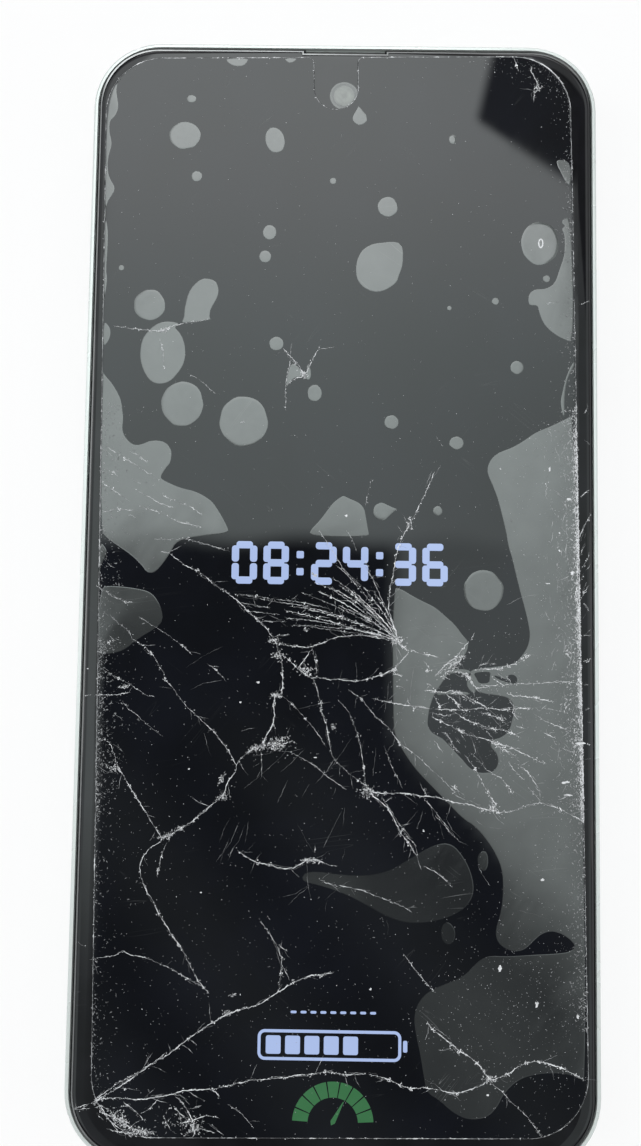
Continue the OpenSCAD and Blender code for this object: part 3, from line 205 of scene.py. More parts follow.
# cracks: strength, then the route
CRACKS = [
    (0.7, [(-26, 4.5), (-24.8, 4.3), (-23.6, 3.5), (-22, 2.3), (-20.6, 1.9), (-19.2, 0.8), (-18, -0.2),
        (-16, -1.5), (-14.5, -2.6), (-13, -4), (-12, -5), (-11.3, -5.6), (-10.2, -6.6), (-9.5, -7.7)]),
    (0.35, [(-28.9, -5), (-27, -6.2), (-24.5, -7.6), (-22.5, -9.1), (-21, -10.4)]),
    (0.6, [(-35.3, -0.5), (-32.7, -2.1), (-31, -2.9), (-29.8, -2.9)]),
    (0.6, [(-33.3, -4.7), (-31.6, -6.2), (-30.3, -7.1), (-29.8, -8.2), (-28.2, -9.1), (-27, -10.2),
        (-26.2, -11.2), (-25.6, -12.4), (-25.1, -13), (-24.8, -14.1), (-23.9, -15), (-22.7, -16.5),
        (-21.8, -17.7), (-20.8, -18.6), (-20, -19.3), (-18.6, -20.5), (-17.5, -21.5), (-16.5, -22.8),
        (-15.5, -24), (-14.8, -25.3), (-14.3, -26), (-14.4, -27)]),
    (0.5, [(-34.3, -12.5), (-33.2, -13.1), (-31.6, -13.9), (-30, -14.7), (-28.7, -15.6), (-27.5, -16.3),
        (-26.3, -16.5)]),
    (0.6, [(-35, -16.4), (-34, -16.3), (-32, -16.3), (-29.8, -15.9)]),
    (0.5, [(-34.8, -17.7), (-33.3, -16.5)]),
    (0.35, [(-31, -17.1), (-30.2, -18.2), (-29, -19), (-27.5, -20.3), (-26, -21.4), (-24.9, -22.2)]),
    (0.65, [(-33.8, -22.5), (-32.5, -23.3), (-31.8, -25), (-31.6, -26), (-31, -27), (-30.2, -28.2),
        (-29.6, -29.3), (-28.6, -30.8), (-27.3, -32.7), (-26.3, -34.3), (-25.3, -35.7), (-24.9, -36.6)]),
    (0.35, [(-18.8, -11.6), (-17.5, -12.5), (-16.1, -14.1)]),
    (0.7, [(-9.5, -7.7), (-8.5, -7.4), (-7, -7.3)]),
    (0.85, [(-9.5, -7.7), (-8.9, -8.6), (-6.5, -8.9), (-4.3, -9.1), (-2.2, -8.4), (-1, -7.8), (0, -7.5),
        (3, -7.2), (5.5, -7.5), (8.3, -8), (9.5, -8.9), (10.2, -9.4)]),
    (0.8, [(-8.9, -8.6), (-8.6, -9.8), (-8.1, -11), (-7.9, -13), (-7.9, -15), (-8.1, -15.8), (-9, -16),
        (-9.1, -17.5), (-9, -19), (-9.3, -20.4), (-10, -21.6), (-10.5, -22.7), (-11.5, -23.6), (-12.5, -24),
        (-13.7, -25), (-14.3, -26)]),
    (0.75, [(-8.6, -9.8), (-7, -11), (-5.9, -12), (-4.6, -13), (-3.7, -13.5), (-2.5, -13.4), (-1, -13.7),
        (0, -13.6), (2.5, -13.9), (4.2, -13.6), (6.2, -12.9), (8, -12.2), (9, -11), (10.2, -9.5)]),
    (0.7, [(-3.7, -9.2), (-4.8, -10.8), (-5.8, -12.3)]),
    (0.7, [(-3.7, -9.2), (-3.2, -11), (-3, -12.9)]),
    (0.65, [(-5, -11.2), (-3.8, -13), (-3, -14.8), (-2.4, -17), (-2.3, -18), (-1.7, -19.7), (-1.3, -21),
        (-1, -23), (-0.6, -24.5), (0.5, -25.8), (1.8, -27), (3.2, -28), (4.3, -28.7), (5.2, -29.6)]),
    (0.45, [(-8, -16), (-6.5, -17.2), (-4.5, -19.3), (-3.3, -20.7), (-2.4, -21.9), (-1.5, -23.3)]),
    (0.45, [(-7, -23.9), (-5, -24.9), (-3, -26), (-1.5, -27.3), (0, -28.3), (1.5, -29.3)]),
    (0.5, [(-10.9, -24), (-10.7, -25.5), (-10.7, -27.7)]),
    (0.8, [(8.9, -8.4), (8, -6), (7.3, -3.5), (7.3, -1.5), (7.9, 2), (8.3, 4.5), (9.1, 7), (10.2, 9),
        (11.1, 10.7), (12.8, 14.2), (13.75, 16.7)]),
    (0.35, [(4.6, 15.6), (4, 13.1), (3.75, 11.4)]),
    (0.4, [(-3, 8), (-1, 5), (0.5, 2.5), (3.2, 0)]),
    (0.4, [(1, 8), (2, 6.5), (2.5, 5)]),
    (0.4, [(3.8, 3), (4.6, 1.3), (6, -0.3)]),
    (0.8, [(8.9, -8.3), (9.6, -8.9), (10.2, -9.6), (9.2, -10.8), (8.3, -12), (7.9, -13)]),
    (0.75, [(10.2, -9), (11.7, -9.7), (13, -9.9), (14.7, -10.3)]),
    (0.7, [(12.3, -10.6), (13.2, -11.8), (12.9, -12.2), (13.5, -12.1), (14.4, -11.8)]),
    (0.7, [(16.3, -12.3), (17.5, -12.3), (18.3, -12.6), (18.9, -13.1), (19.3, -13.8), (20, -14.6),
        (21.8, -14.4)]),
    (0.85, [(19.6, -12), (21.5, -11.8), (23, -11.8), (24.5, -11.3), (25.6, -11), (26.5, -10.3), (27.2, -9.9),
        (28.2, -9.7)]),
    (0.55, [(20.3, -11.3), (21.5, -11), (23, -11.1)]),
    (0.6, [(20.5, -14.2), (22.5, -14.2), (24, -14.1), (26, -13.9), (29, -13.8), (32, -13.5), (34.2, -13.6)]),
    (0.75, [(22, -12.9), (23, -13.6), (24.1, -14.2)]),
    (0.65, [(24.2, -12.7), (25.2, -14)]),
    (0.8, [(24.2, -15.2), (25.3, -15.6), (26.8, -15.7), (28.7, -15.9), (30.5, -16.3), (31.2, -16.4)]),
    (0.85, [(12.4, -15), (14, -15.1), (15.2, -15.3), (16.5, -15), (17.5, -15.2), (18.7, -15.8), (20, -16.6),
        (21.3, -17.2), (21.6, -17.8)]),
    (0.9, [(5, -16.3), (8, -16.9), (10, -17.2), (11.6, -17.3), (13.2, -17.6)]),
    (0.85, [(14, -17.7), (16.5, -17.7), (18.5, -17.8), (20, -17.5), (22, -17.4), (24, -17.7), (26, -17.4),
        (27.8, -17.4)]),
    (0.5, [(29.6, -17.3), (31.5, -17.6), (33.2, -18)]),
    (0.75, [(14, -16), (14.8, -17.4), (15.1, -17.9)]),
    (0.7, [(15.5, -15.4), (17, -16.5), (18.5, -17.8)]),
    (0.75, [(16.6, -16), (17.3, -17.2), (17.8, -17.8)]),
    (0.7, [(17.2, -15.2), (18.6, -16.2), (20.2, -16.9)]),
    (0.65, [(13.5, -18.2), (15.5, -18.6), (17, -18.3)]),
    (0.75, [(20.3, -18), (21.7, -18.3), (23.3, -18.8), (24.3, -19.6)]),
    (0.7, [(24.6, -16.1), (25.4, -17.2), (25.2, -18), (26, -19)]),
    (0.65, [(25.7, -19.9), (27.2, -20.3)]),
    (0.9, [(17.5, -18.5), (18.6, -19.1), (19.8, -19.6), (21, -20), (22.5, -20.4), (24, -20.5), (25, -20.9),
        (26.3, -21.5)]),
    (0.95, [(13.6, -18.7), (14.9, -19.4), (16.5, -20.1), (17.8, -20.8), (19, -21.3), (20.5, -21.7), (22, -22),
        (23, -22.7), (23.9, -23.2), (25, -23.9), (26, -24.4)]),
    (0.85, [(22.5, -22), (23.5, -22.5), (25, -23), (26.3, -23.6), (27.8, -24.3), (29, -24.9), (29.9, -25.3)]),
    (0.8, [(21.3, -20.6), (22, -21.3), (22.5, -22)]),
    (0.8, [(22.3, -20), (23, -21.1)]),
    (0.6, [(24, -20.3), (24.7, -21.2)]),
    (0.8, [(15, -21), (15.8, -21.2), (16.4, -22.3), (17, -23.3), (17.8, -23.9)]),
    (0.6, [(16, -22.3), (16.9, -23.6)]),
    (0.6, [(17, -21.7), (17.7, -22.6)]),
    (0.55, [(14, -22), (14.8, -23.3), (15.2, -23.8)]),
    (0.55, [(8.2, -21.4), (9.1, -22.9), (9.7, -23.6)]),
    (0.65, [(19.2, -23.7), (20.5, -25), (21.5, -26.2), (23.5, -27.3), (24.6, -28.5), (25.3, -29.6)]),
    (0.65, [(18.3, -24), (19.8, -26), (20.8, -27.8), (21.6, -29.3), (22.2, -30.5), (22.7, -31.8)]),
    (0.6, [(24.6, -25), (25.5, -26.3), (26.9, -27.5)]),
    (0.65, [(25.8, -25.3), (27.3, -26.3), (28, -27.4), (28.7, -28.5), (29.4, -29.4)]),
    (0.85, [(29.6, -20.8), (30.8, -21.3), (31.4, -21.6)]),
    (0.85, [(30.5, -22.7), (31.3, -23.2), (31.8, -23.5)]),
    (0.65, [(32, -22.9), (33.5, -23.4), (34.5, -24)]),
    (0.5, [(28, -18), (30, -19.2), (32, -20), (34.2, -20.7)]),
    (0.8, [(16.2, -28.4), (17.1, -28.8), (17.7, -29.8)]),
    (0.75, [(16.4, -29.5), (17.4, -29.3)]),
    (0.85, [(12, -28.2), (12.3, -29), (13.1, -30)]),
    (0.45, [(12.4, -30.2), (13.5, -31.4), (14.8, -33), (16.5, -35), (17.7, -36.4)]),
    (0.85, [(22.1, -30.2), (22.8, -30.9), (22.5, -31.6), (23, -32)]),
    (0.75, [(10, -16.1), (10.3, -17), (11.2, -17.6), (12.2, -18)]),
    (0.85, [(8.4, -14.3), (9.8, -14.8)]),
    (0.8, [(7.8, -12.7), (9.4, -12.9)]),
    (0.7, [(14.5, -12.9), (15.2, -13), (16.3, -13.4)]),
    (0.7, [(15.2, -11.7), (16.3, -10.8)]),
    (0.55, [(12.8, -13.9), (14.1, -14.7)]),
    (0.4, [(14, 22), (15, 20.5)]),
    (0.9, [(18.9, -7.9), (18, -9), (17, -10.2), (15.8, -11), (15, -12), (14, -13)]),
    (0.7, [(19.7, -6.6), (19.1, -7.8)]),
    (0.5, [(1.5, -15), (3.5, -16.4), (5.5, -18.8), (7.5, -20.5), (9, -22.5), (11, -24), (13, -25.7),
        (15, -27.5), (17, -29.4)]),
    (0.5, [(0, -16.5), (1.5, -18), (2.3, -19.7), (3, -21.5), (3.6, -24), (3.9, -26), (4.1, -28), (4.3, -29)]),
    (0.35, [(6.8, -23), (7.6, -25.2), (8.6, -27.2), (9.5, -29)]),
    (0.95, [(4.6, -29.6), (7, -29.7), (10, -29.7), (12, -30), (14.5, -30.2), (17, -30.9), (19, -31.1),
        (21, -31.7), (23, -32.2), (25, -32), (27, -31.2), (29.3, -30.7), (32, -31.6), (35.3, -33.2)]),
    (0.6, [(27.3, -28.5), (28.4, -29.6), (29.3, -30.7)]),
    (0.6, [(21.8, -29.6), (22.3, -30.8), (22.6, -32)]),
    (0.9, [(4.7, -29.7), (6, -30.6), (7.4, -31.8), (8.4, -33.6), (9.3, -35.3), (10.4, -36.6), (11, -37.7),
        (11.7, -38.6)]),
    (0.7, [(6.5, -30.3), (8, -32.4), (9.6, -34.9), (10.8, -36.3), (11.4, -37)]),
    (0.6, [(7, -31), (8, -30.2)]),
    (0.55, [(12.5, -39.8), (14.3, -40.6), (15.8, -41.9), (16.7, -42.9)]),
    (0.6, [(0.5, -42.7), (3.7, -43.3), (5.5, -44), (8, -44.9), (9.9, -45.6), (11, -46.4)]),
    (0.8, [(-14, -38), (-12.8, -38.9), (-10.9, -39.8), (-9.3, -40), (-8.2, -40.4), (-7, -40.5), (-6, -40.4),
        (-5, -39.8), (-3.9, -39.3), (-2.5, -39.2), (-1, -39.9), (0.3, -40.1)]),
    (0.6, [(-2.9, -37.2), (-2.9, -38.3)]),
    (0.6, [(-2.5, -41.8), (-1.2, -42.4), (0.5, -42.9)]),
    (0.95, [(-14.4, -27), (-15.4, -28.2), (-16.2, -30.4), (-17.5, -31.5), (-19.2, -33), (-20.4, -34),
        (-22, -35), (-23.5, -36), (-24.7, -36.5)]),
    (0.7, [(-24.9, -36.9), (-26.5, -38), (-27.5, -39.3), (-27.9, -40.5), (-27.6, -42), (-27.1, -43.3),
        (-26.4, -44.5), (-25.6, -45.7), (-25, -47), (-24.2, -48.2), (-23, -50), (-22, -51.3), (-21.2, -52.4),
        (-20.7, -53.5), (-20, -54.8), (-19.2, -56.2), (-18.3, -57.2), (-17.5, -58)]),
    (0.5, [(-24, -37), (-24.8, -39), (-25.2, -41), (-25.3, -42)]),
    (0.6, [(-34.6, -53.6), (-33.5, -53.3), (-31, -53), (-30, -52.3), (-28.6, -52.9), (-26.8, -53.1),
        (-24.5, -54), (-22.5, -54.9), (-20.8, -55.9), (-19.5, -56.6), (-18.5, -57)]),
    (0.95, [(-33.9, -73.3), (-31, -71.6), (-28.5, -70), (-26, -68), (-23, -66.3), (-20.4, -64.2),
        (-17, -61.9), (-15, -60.8), (-13.5, -60.2), (-11.5, -59.7), (-10, -59.1), (-7.8, -57.6),
        (-5.8, -56.3), (-3.4, -55.3), (-2, -55.2), (0, -54.8)]),
    (0.7, [(-33.4, -72.8), (-29.8, -70.2), (-27, -68.9), (-23.2, -66)]),
    (0.65, [(-7.8, -57.6), (-7.5, -55), (-7.4, -53), (-8.2, -51), (-9.3, -49.4), (-10.6, -47.8)]),
    (0.5, [(-8, -51), (-6.6, -52)]),
    (0.5, [(-7.2, -54), (-6.2, -56)]),
    (0.95, [(-33.6, -73.4), (-32.5, -72.6), (-30, -72.4), (-28, -72.6), (-26, -72.5), (-24.5, -72.2),
        (-22.8, -71.9), (-21, -71.3), (-18.5, -71.1), (-16.8, -71), (-15.5, -70.7), (-13.8, -70.3),
        (-11.5, -69.7), (-9, -69.5), (-6.6, -69.3), (-5, -68.9), (-3, -68.8), (-1, -68.4), (0, -68.5),
        (2, -68.7), (4.8, -68.6)]),
    (0.75, [(-22, -72.1), (-20.9, -73), (-20.1, -74.2), (-19.4, -75.6), (-19.2, -77), (-19.5, -77.6)]),
    (0.6, [(-17, -71), (-16.2, -71.5), (-15.7, -72.3)]),
    (0.8, [(-33.2, -73.8), (-32.5, -73.5), (-31.5, -75), (-29.9, -76.9), (-27.8, -77.5)]),
    (0.7, [(-33, -74.6), (-32, -75.5)]),
    (0.75, [(-32.4, -74.4), (-30.4, -75.1), (-28.2, -76.4), (-26.4, -76.9)]),
    (0.6, [(-29.3, -72.9), (-27.6, -74.1), (-26.1, -75.6)]),
    (0.55, [(-24.4, -72.4), (-25.5, -73.8), (-26.9, -74.5)]),
    (0.75, [(-21.4, -75.8), (-19.3, -75.2), (-17.6, -74.6), (-15.8, -74.9)]),
    (0.7, [(-20.7, -77.1), (-18.3, -76.4), (-16.3, -76.9)]),
    (0.6, [(-20, -73.8), (-18.3, -73.2)]),
    (0.6, [(-17.3, -75.7), (-15.1, -77.2)]),
    (0.6, [(-23.6, -74.8), (-22.5, -76.7)]),
    (0.6, [(-22.2, -73.6), (-20.1, -75.3), (-18.9, -77.3)]),
    (0.5, [(-14.6, -73), (-12.5, -74.4), (-10.8, -76.3)]),
    (0.65, [(-31.6, -76.6), (-29.4, -77.1), (-26.6, -77.2)]),
    (0.8, [(-30, -73.7), (-28.2, -73.2)]),
    (0.95, [(13.2, -61.3), (14, -62.5), (15.4, -63.4), (16.7, -64.4), (17.8, -65.3), (19.2, -66),
        (20.2, -66.8), (21.2, -68), (22, -69), (22.8, -69), (24.5, -68.3), (26, -67.3), (27, -66.7),
        (29, -66.5), (30.3, -66.8), (32, -67.3), (34, -68.2), (35.4, -69)]),
    (0.55, [(14.8, -65.2), (17, -65)]),
    (0.9, [(22, -69), (21, -69.8), (19.5, -70.4), (17.5, -71), (16.5, -70.9), (14.5, -70.5), (12.8, -70.3),
        (11, -70.5), (9.5, -70), (8, -69.3), (5, -68.6)]),
    (0.45, [(22, -69.5), (23.8, -70.7), (24.9, -72), (26, -72.8), (27.5, -74.3), (28.8, -76), (29.3, -76.8)]),
    (0.5, [(16.5, -71), (17.4, -71.5), (18, -72)]),
    (0.5, [(9.7, -52), (11.5, -54.2), (13, -56), (14.2, -57.3)]),
    (0.35, [(20.2, -39.5), (21, -41), (22, -42.4)]),
    (0.4, [(14.2, -32.8), (15.5, -34.1), (17, -35.8)]),
    (0.6, [(-33.9, 37.9), (-30.8, 37.5), (-26.9, 37.2), (-24.9, 38.1), (-23.05, 38.5), (-19.4, 39.1)]),
    (0.45, [(-26.9, 36.1), (-26.4, 34.4), (-26.2, 32.2), (-26, 31.1)]),
    (0.3, [(-22.8, 31.1), (-20.5, 29.7), (-18.5, 27.9)]),
    (0.85, [(-5.3, 30.9), (-6.6, 32.6), (-8.7, 34.9)]),
    (0.8, [(-5.3, 30.9), (-4.4, 33), (-3.05, 35.5)]),
    (0.6, [(-8.2, 29), (-8.1, 25.5)]),
    (0.8, [(-7.5, 33.1), (-8, 31), (-8.2, 29.2), (-6.7, 30.4), (-5.3, 30.7)]),
    (0.45, [(-34.4, 19.9), (-31.7, 18.2), (-30, 17.2), (-27.8, 15.8), (-26.4, 14.7)]),
    (0.45, [(-31, 19.2), (-29.4, 18.5), (-28.2, 17.5)]),
    (0.45, [(-34.7, 16.7), (-33.05, 16), (-32.5, 15.4)]),
    (0.5, [(-35, 14.6), (-33.3, 13.6), (-30.8, 11.9)]),
    (0.5, [(-30.3, 13.75), (-28, 12.6), (-26.1, 11.5), (-24.2, 11)]),
    (0.6, [(-26.4, 13.05), (-24.4, 12.1), (-21.9, 11.25), (-20, 9.9)]),
    (0.6, [(-29.4, 11.25), (-27.5, 10.6), (-25.6, 10), (-23.6, 8.9), (-20, 8.2)]),
    (0.4, [(-35, 10.1), (-32.2, 10.7), (-29.4, 10.4)]),
    (0.4, [(-27, 6.3), (-22, 6.4), (-16, 4.7)]),
    (0.7, [(25.4, 79.7), (25.7, 78.7), (26.1, 77.5)]),
    (0.7, [(27.9, 78.6), (28, 77.5), (28.9, 75.8), (29.2, 75), (28.4, 74.2), (28.3, 72.8)]),
    (0.5, [(30.1, 42.15), (31.5, 42.2)]),
    (0.5, [(30.3, 16.7), (30, 13.3)]),
]

# the fan of cracks that runs out of the point of impact
FAN = [
    (0.55, [(-15.2, -1.5), (-12, -1.8), (-10, -2.1)]),
    (0.55, [(-14.8, -2.7), (-11.5, -3.2), (-9.8, -3.5)]),
    (0.5, [(-12.9, -4), (-8.5, -4.4)]),
    (0.55, [(-11.4, -5.4), (-7.5, -5.4)]),
    (0.75, [(-7.9, -3.7), (-5.8, -4.2), (-3, -4.8), (0, -5.6), (3, -6.6), (6, -7.2), (8.3, -7.9)]),
    (0.7, [(-4.5, -3.6), (-2, -4.1), (0, -4.7), (3.5, -5.8), (8, -7.5)]),
    (0.65, [(-3.5, -5.9), (-1, -6.2), (2, -6.3), (5, -6.9), (8.3, -7.8)]),
    (0.5, [(-6.9, -6), (-3, -5.9)]),
    (0.75, [(-3, -1), (-1, -1.8), (1.2, -2.9), (4, -4.6), (8, -7.3)]),
    (0.8, [(0, 0), (2, -1.3), (4.5, -3.6), (6.5, -5.7), (8.5, -7.8)]),
    (0.65, [(-1.7, -0.2), (0, -0.9), (2.5, -2.4), (5, -4.5), (8, -7.2)]),
    (0.95, [(2, -0.7), (3.8, -2.4), (5.8, -4.3), (7.4, -6), (8.6, -8)]),
    (0.8, [(3.6, -0.2), (5, -2), (6.6, -4), (8, -6.5)]),
    (0.75, [(5, -0.8), (6.3, -2.5), (7.6, -4.8), (8.6, -7.3)]),
    (0.6, [(0, -3), (3.1, -4.2), (6, -6), (8, -7.4)]),
    (0.5, [(-7.2, -3.2), (-3.5, -3.5), (0.5, -4.6), (4, -5.8), (8, -7.6)]),
    (0.45, [(-9.1, -2.2), (-5, -2.6), (-1, -3.6)]),
    (0.4, [(-14.3, -1.5), (-9, -2.6), (-4, -3.2)]),
    (0.5, [(-5.4, -1.2), (-2.5, -2.2), (1, -3.7), (5, -5.7)]),
    (0.5, [(-3.6, 0.4), (-1, -0.6), (2, -2.6), (5, -5)]),
    (0.5, [(-1.1, 1.1), (1, -0.2), (3.2, -2.2), (6, -5)]),
    (0.45, [(1.3, 1.7), (3, -0.2), (5, -3)]),
    (0.4, [(-0.5, 3), (1.5, 1.2), (3, -0.6)]),
    (0.4, [(3.8, 3.7), (4.6, 1.6), (6, -1.4), (7.4, -4.4)]),
    (0.45, [(-7.9, -4.8), (-4, -5.2), (0, -5.8), (4, -6.6)]),
    (0.4, [(-6.1, -5.8), (-2, -6.4), (2.5, -6.9), (6, -7.5)]),
]

# cracks and scratches in the bare glass beside the protector
BORDER_CRACKS = [
    (0.7, [(35, 41.9), (36.8, 42.8)]),
    (0.6, [(35.7, 25.7), (36.4, 26.9)]),
    (0.6, [(35.8, 21.8), (36.6, 21.1)]),
    (0.6, [(35, 13.3), (35.8, 13.9), (36.5, 14.5)]),
    (0.7, [(35, 7.4), (35.6, 9), (36.3, 10.1), (36.7, 11.2)]),
    (0.6, [(35.1, 6.9), (35.7, 8.5)]),
    (0.6, [(35, 4.8), (35.9, 6.6)]),
    (0.7, [(35.3, 2.9), (36, 4), (36.5, 5.3)]),
    (0.6, [(36, 2.7), (36.8, 3.7)]),
    (0.6, [(35.1, 1.1), (35.6, 2.2)]),
    (0.75, [(35.2, -1.6), (35.6, -0.5), (36.4, 0.5)]),
    (0.6, [(35.4, -0.3), (36, 0.9)]),
    (0.6, [(35.5, -2), (36.4, -3.3)]),
    (0.65, [(35.4, -6.9), (36.7, -6.7)]),
    (0.65, [(35.4, -10.6), (36.3, -10.4), (36.7, -10.1)]),
    (0.6, [(35.6, -14), (36.3, -13.8)]),
    (0.6, [(35.7, -17.6), (36.4, -17.3)]),
    (0.55, [(35.9, -19.2), (36.5, -19.3)]),
    (0.6, [(35.8, -22.3), (36.5, -22.5)]),
    (0.5, [(35.5, -24.6), (36.5, -24.4)]),
    (0.5, [(-36.9, -16.5), (-35.4, -16.4)]),
    (0.5, [(-36.9, -51), (-35.2, -52)]),
    (0.8, [(-36.3, -74.2), (-34.4, -73.5)]),
    (0.6, [(-36.2, -74.3), (-34, -74)]),
]

# crushed spots: middle, half length, half width, lean in degrees, number of splinters
CRUSHED = [
    (-32, -26.6, 0.8, 0.5, 0, 22),
    (-30.6, -15, 0.8, 0.28, 15, 26),
    (-8.6, -22.9, 1.9, 0.9, 10, 130),
    (-11.4, -23.5, 1.2, 0.6, 20, 50),
    (-8.7, -10.3, 0.8, 0.6, 0, 34),
    (-8.9, -16, 0.9, 0.45, 0, 40),
    (-4.9, -12.2, 1.2, 0.7, -30, 44),
    (-9.2, -8.2, 0.7, 0.5, 0, 30),
    (4.6, -29.6, 1.2, 0.8, 0, 70),
    (22.3, -31.6, 0.8, 0.6, 0, 34),
    (-3.5, -39.3, 1.5, 0.35, 0, 56),
    (-16.2, -30.5, 0.8, 0.6, 30, 40),
    (-24.2, -36.2, 0.9, 0.5, 20, 44),
    (-22.3, -35, 0.5, 0.3, 0, 20),
    (-14.9, -60.6, 0.8, 0.4, 20, 34),
    (-29.8, -75.3, 1.7, 0.8, -35, 120),
    (-26.5, -77, 1.4, 0.5, -10, 90),
    (-19.4, -76.2, 1, 1.1, 70, 50),
    (-22, -75, 2.6, 1.8, 0, 40),
    (16.8, -11.2, 1.9, 0.6, 42, 110),
    (27.6, -17.4, 0.5, 0.16, 0, 14),
    (28.5, -15.85, 0.4, 0.14, 0, 12),
    (18.6, -12.9, 0.8, 0.35, -35, 34),
    (17.3, -15.3, 0.6, 0.4, 0, 24),
    (23.6, -18.9, 0.7, 0.4, -30, 24),
    (17.8, -20.7, 0.5, 0.2, -30, 20),
    (22.6, -22.3, 0.7, 0.3, -20, 26),
    (23.2, -11.8, 0.5, 0.16, 0, 16),
    (34.3, -21.5, 0.5, 2.4, 0, 46),
    (33, -16.8, 0.7, 1.2, 0, 20),
    (33.3, -9.4, 0.6, 1, 0, 20),
    (-26.1, 37.45, 0.75, 0.3, 25, 46),
    (-5.6, 31, 0.6, 0.35, -30, 40),
    (8.6, -8, 0.9, 0.6, 0, 60),
    (10.3, 9, 0.35, 0.9, 0, 24),
    (-16.4, -28, 0.65, 0.28, 55, 24),
    (-33, -8.7, 0.5, 0.22, 20, 16),
    (-0.5, -20.5, 0.3, 0.45, 0, 14),
    (-4.6, -6.5, 0.4, 0.22, 0, 14),
    (-3.6, 1.5, 0.5, 0.26, 0, 12),
    (-14.1, -58.1, 0.55, 0.2, 15, 14),
    (22, -69, 0.7, 0.5, 0, 40),
    (28.9, 75, 0.6, 0.4, 30, 30),
    (-14.5, 23.7, 0.22, 0.12, 20, 6),
]

# crushed bands along the protector's sides: side, lowest and highest y, splinters tried, reach inward, tone
EDGE_BANDS = [
    (1, -32, 27, 3400, 1, 0.95),
    (1, -62, -30, 1100, 1.3, 0.6),
    (1, 27, 66, 600, 0.8, 0.5),
    (-1, -34, -8, 1300, 1.1, 0.5),
    (-1, -8, 26, 900, 1.5, 0.45),
    (-1, -72, -34, 600, 1.2, 0.4),
]

# single chips: middle, half width, half height
CHIPS = [
    (-21.1, -26.7, 0.18, 0.16), (-13.9, -17.1, 0.15, 0.14), (-11.4, -14.2, 0.25, 0.2),
    (34.6, -22.3, 0.75, 0.22), (32.7, -27.8, 0.6, 0.24), (33.0, -29.6, 0.7, 0.14), (33.4, 12.9, 0.4, 0.2),
        (33.8, 2.2, 0.3, 0.3), (32.0, 8.0, 0.16, 0.14), (32.0, 5.4, 0.18, 0.16),
    (23.4, -53.9, 0.3, 0.45), (28.6, -58.7, 0.22, 0.42), (34.4, -60.3, 0.22, 0.38),
    (21.7, -71.2, 0.2, 0.18), (-29.1, -71.2, 0.18, 0.17), (29.4, -41.5, 0.33, 0.2),
    (30.55, 17.4, 0.14, 0.5), (23.4, 17.3, 0.12, 0.12), (30.3, 0.6, 0.42, 0.1),
    (1.0, 10.1, 0.2, 0.2), (-36.2, -12.6, 0.14, 0.12), (5.2, -57.0, 0.16, 0.16),
    (-3.0, -24.8, 0.2, 0.12), (12.5, -34.9, 0.13, 0.16), (-19.0, -44.0, 0.14, 0.12),
]


# ---------------------------------------------------------------- what a user may change
def length_setting(name, description, default):
    return FloatProperty(name=name, description=description, default=default, unit="LENGTH")


def colour_setting(name, description, default):
    return FloatVectorProperty(
        name=name, description=description, subtype="COLOR", size=3, min=0, max=1, default=default
    )


class PhoneSizes(bpy.types.PropertyGroup):
    """Sizes of the damage and of the picture on the screen."""

    crack_width: length_setting("Crack width", "Widest part of a bright crack", 0.108 * MM)
    hair_width: length_setting("Hair width", "Width of the side hairs of a crack", 0.052 * MM)
    crack_lift: length_setting("Crack lift", "How far a crack's lips stand up", 0.03 * MM)
    pocket_lift: length_setting("Pocket lift", "How far an air pocket lifts the protector", 0.02 * MM)
    dust_count: IntProperty(name="Dust", description="Specks of glass dust over the screen", default=1500)
    edge_width: length_setting("Chipped edge", "Width of the chipped line round the protector", 0.17 * MM)
    digit_height: length_setting("Digit height", "Height of the digits on the screen", 6.2 * MM)
    digit_width: length_setting("Digit width", "Width of one digit", 3.7 * MM)
    digit_stroke: length_setting("Digit stroke", "Width of a digit's bars", 1.05 * MM)
    gauge_radius: length_setting("Gauge radius", "Outer radius of the half-round gauge", 5.7 * MM)


class PhoneColours(bpy.types.PropertyGroup):
    """Colours of the finishes that show most."""

    broken: colour_setting("Broken glass", "Colour of fresh breaks", (0.86, 0.88, 0.9))
    # The air pocket colour is a painted reflection: the grey that the faces over the air give back, painted
    # into the colour.
    pocket_reflection: colour_setting("Air pocket", "Colour of the air under the protector", (0.092, 0.101, 0.099))
    bonded: colour_setting(
        "Bonded glass", "Colour of the screen where the protector holds", (0.0022, 0.0026, 0.0045)
    )
    border: colour_setting(
        "Glass border", "Colour of the bare glass round the protector", (0.003, 0.003, 0.004)
    )
    lit: colour_setting("Lit digits", "Colour of the digits on the screen", (0.403, 0.516, 0.813))
    gauge: colour_setting("Gauge", "Colour of the half-round gauge", (0.0284, 0.122, 0.0429))
    silver: colour_setting("Frame", "Colour of the frame and its keys", (0.66, 0.71, 0.69))
    cover: colour_setting("Rear cover", "Colour of the rear cover", (0.50, 0.60, 0.55))


def sizes():
    return bpy.context.scene.phone_sizes


def colours():
    return bpy.context.scene.phone_colours


# ---------------------------------------------------------------- outlines, in millimetres
def eased(x, low, high):
    """0 below low, 1 above high, and smooth between."""
    t = max(0.0, min(1.0, (x - low) / (high - low)))
    return t * t * (3 - 2 * t)


def rounded_outline(width, length, corner, steps=14):
    """Rounded rectangle about the origin, anticlockwise from the bottom right corner."""
    points = []
    for cx, cy, start in ((1, -1, -90), (1, 1, 0), (-1, 1, 90), (-1, -1, 180)):
        for i in range(steps + 1):
            a = math.radians(start + 90 * i / steps)
            points.append(
                (
                    cx * (width / 2 - corner) + corner * math.cos(a),
                    cy * (length / 2 - corner) + corner * math.sin(a)
                )
            )
    return points


def with_notch(points, notch, top):
    """The outline with a notch let into its top side."""
    cut = next(
        i for i in range(len(points) - 1) if points[i][1] > top - 0.01 and points[i][0] > 0 > points[i + 1][0]
    )
    return points[: cut + 1] + notch + points[cut + 1 :]


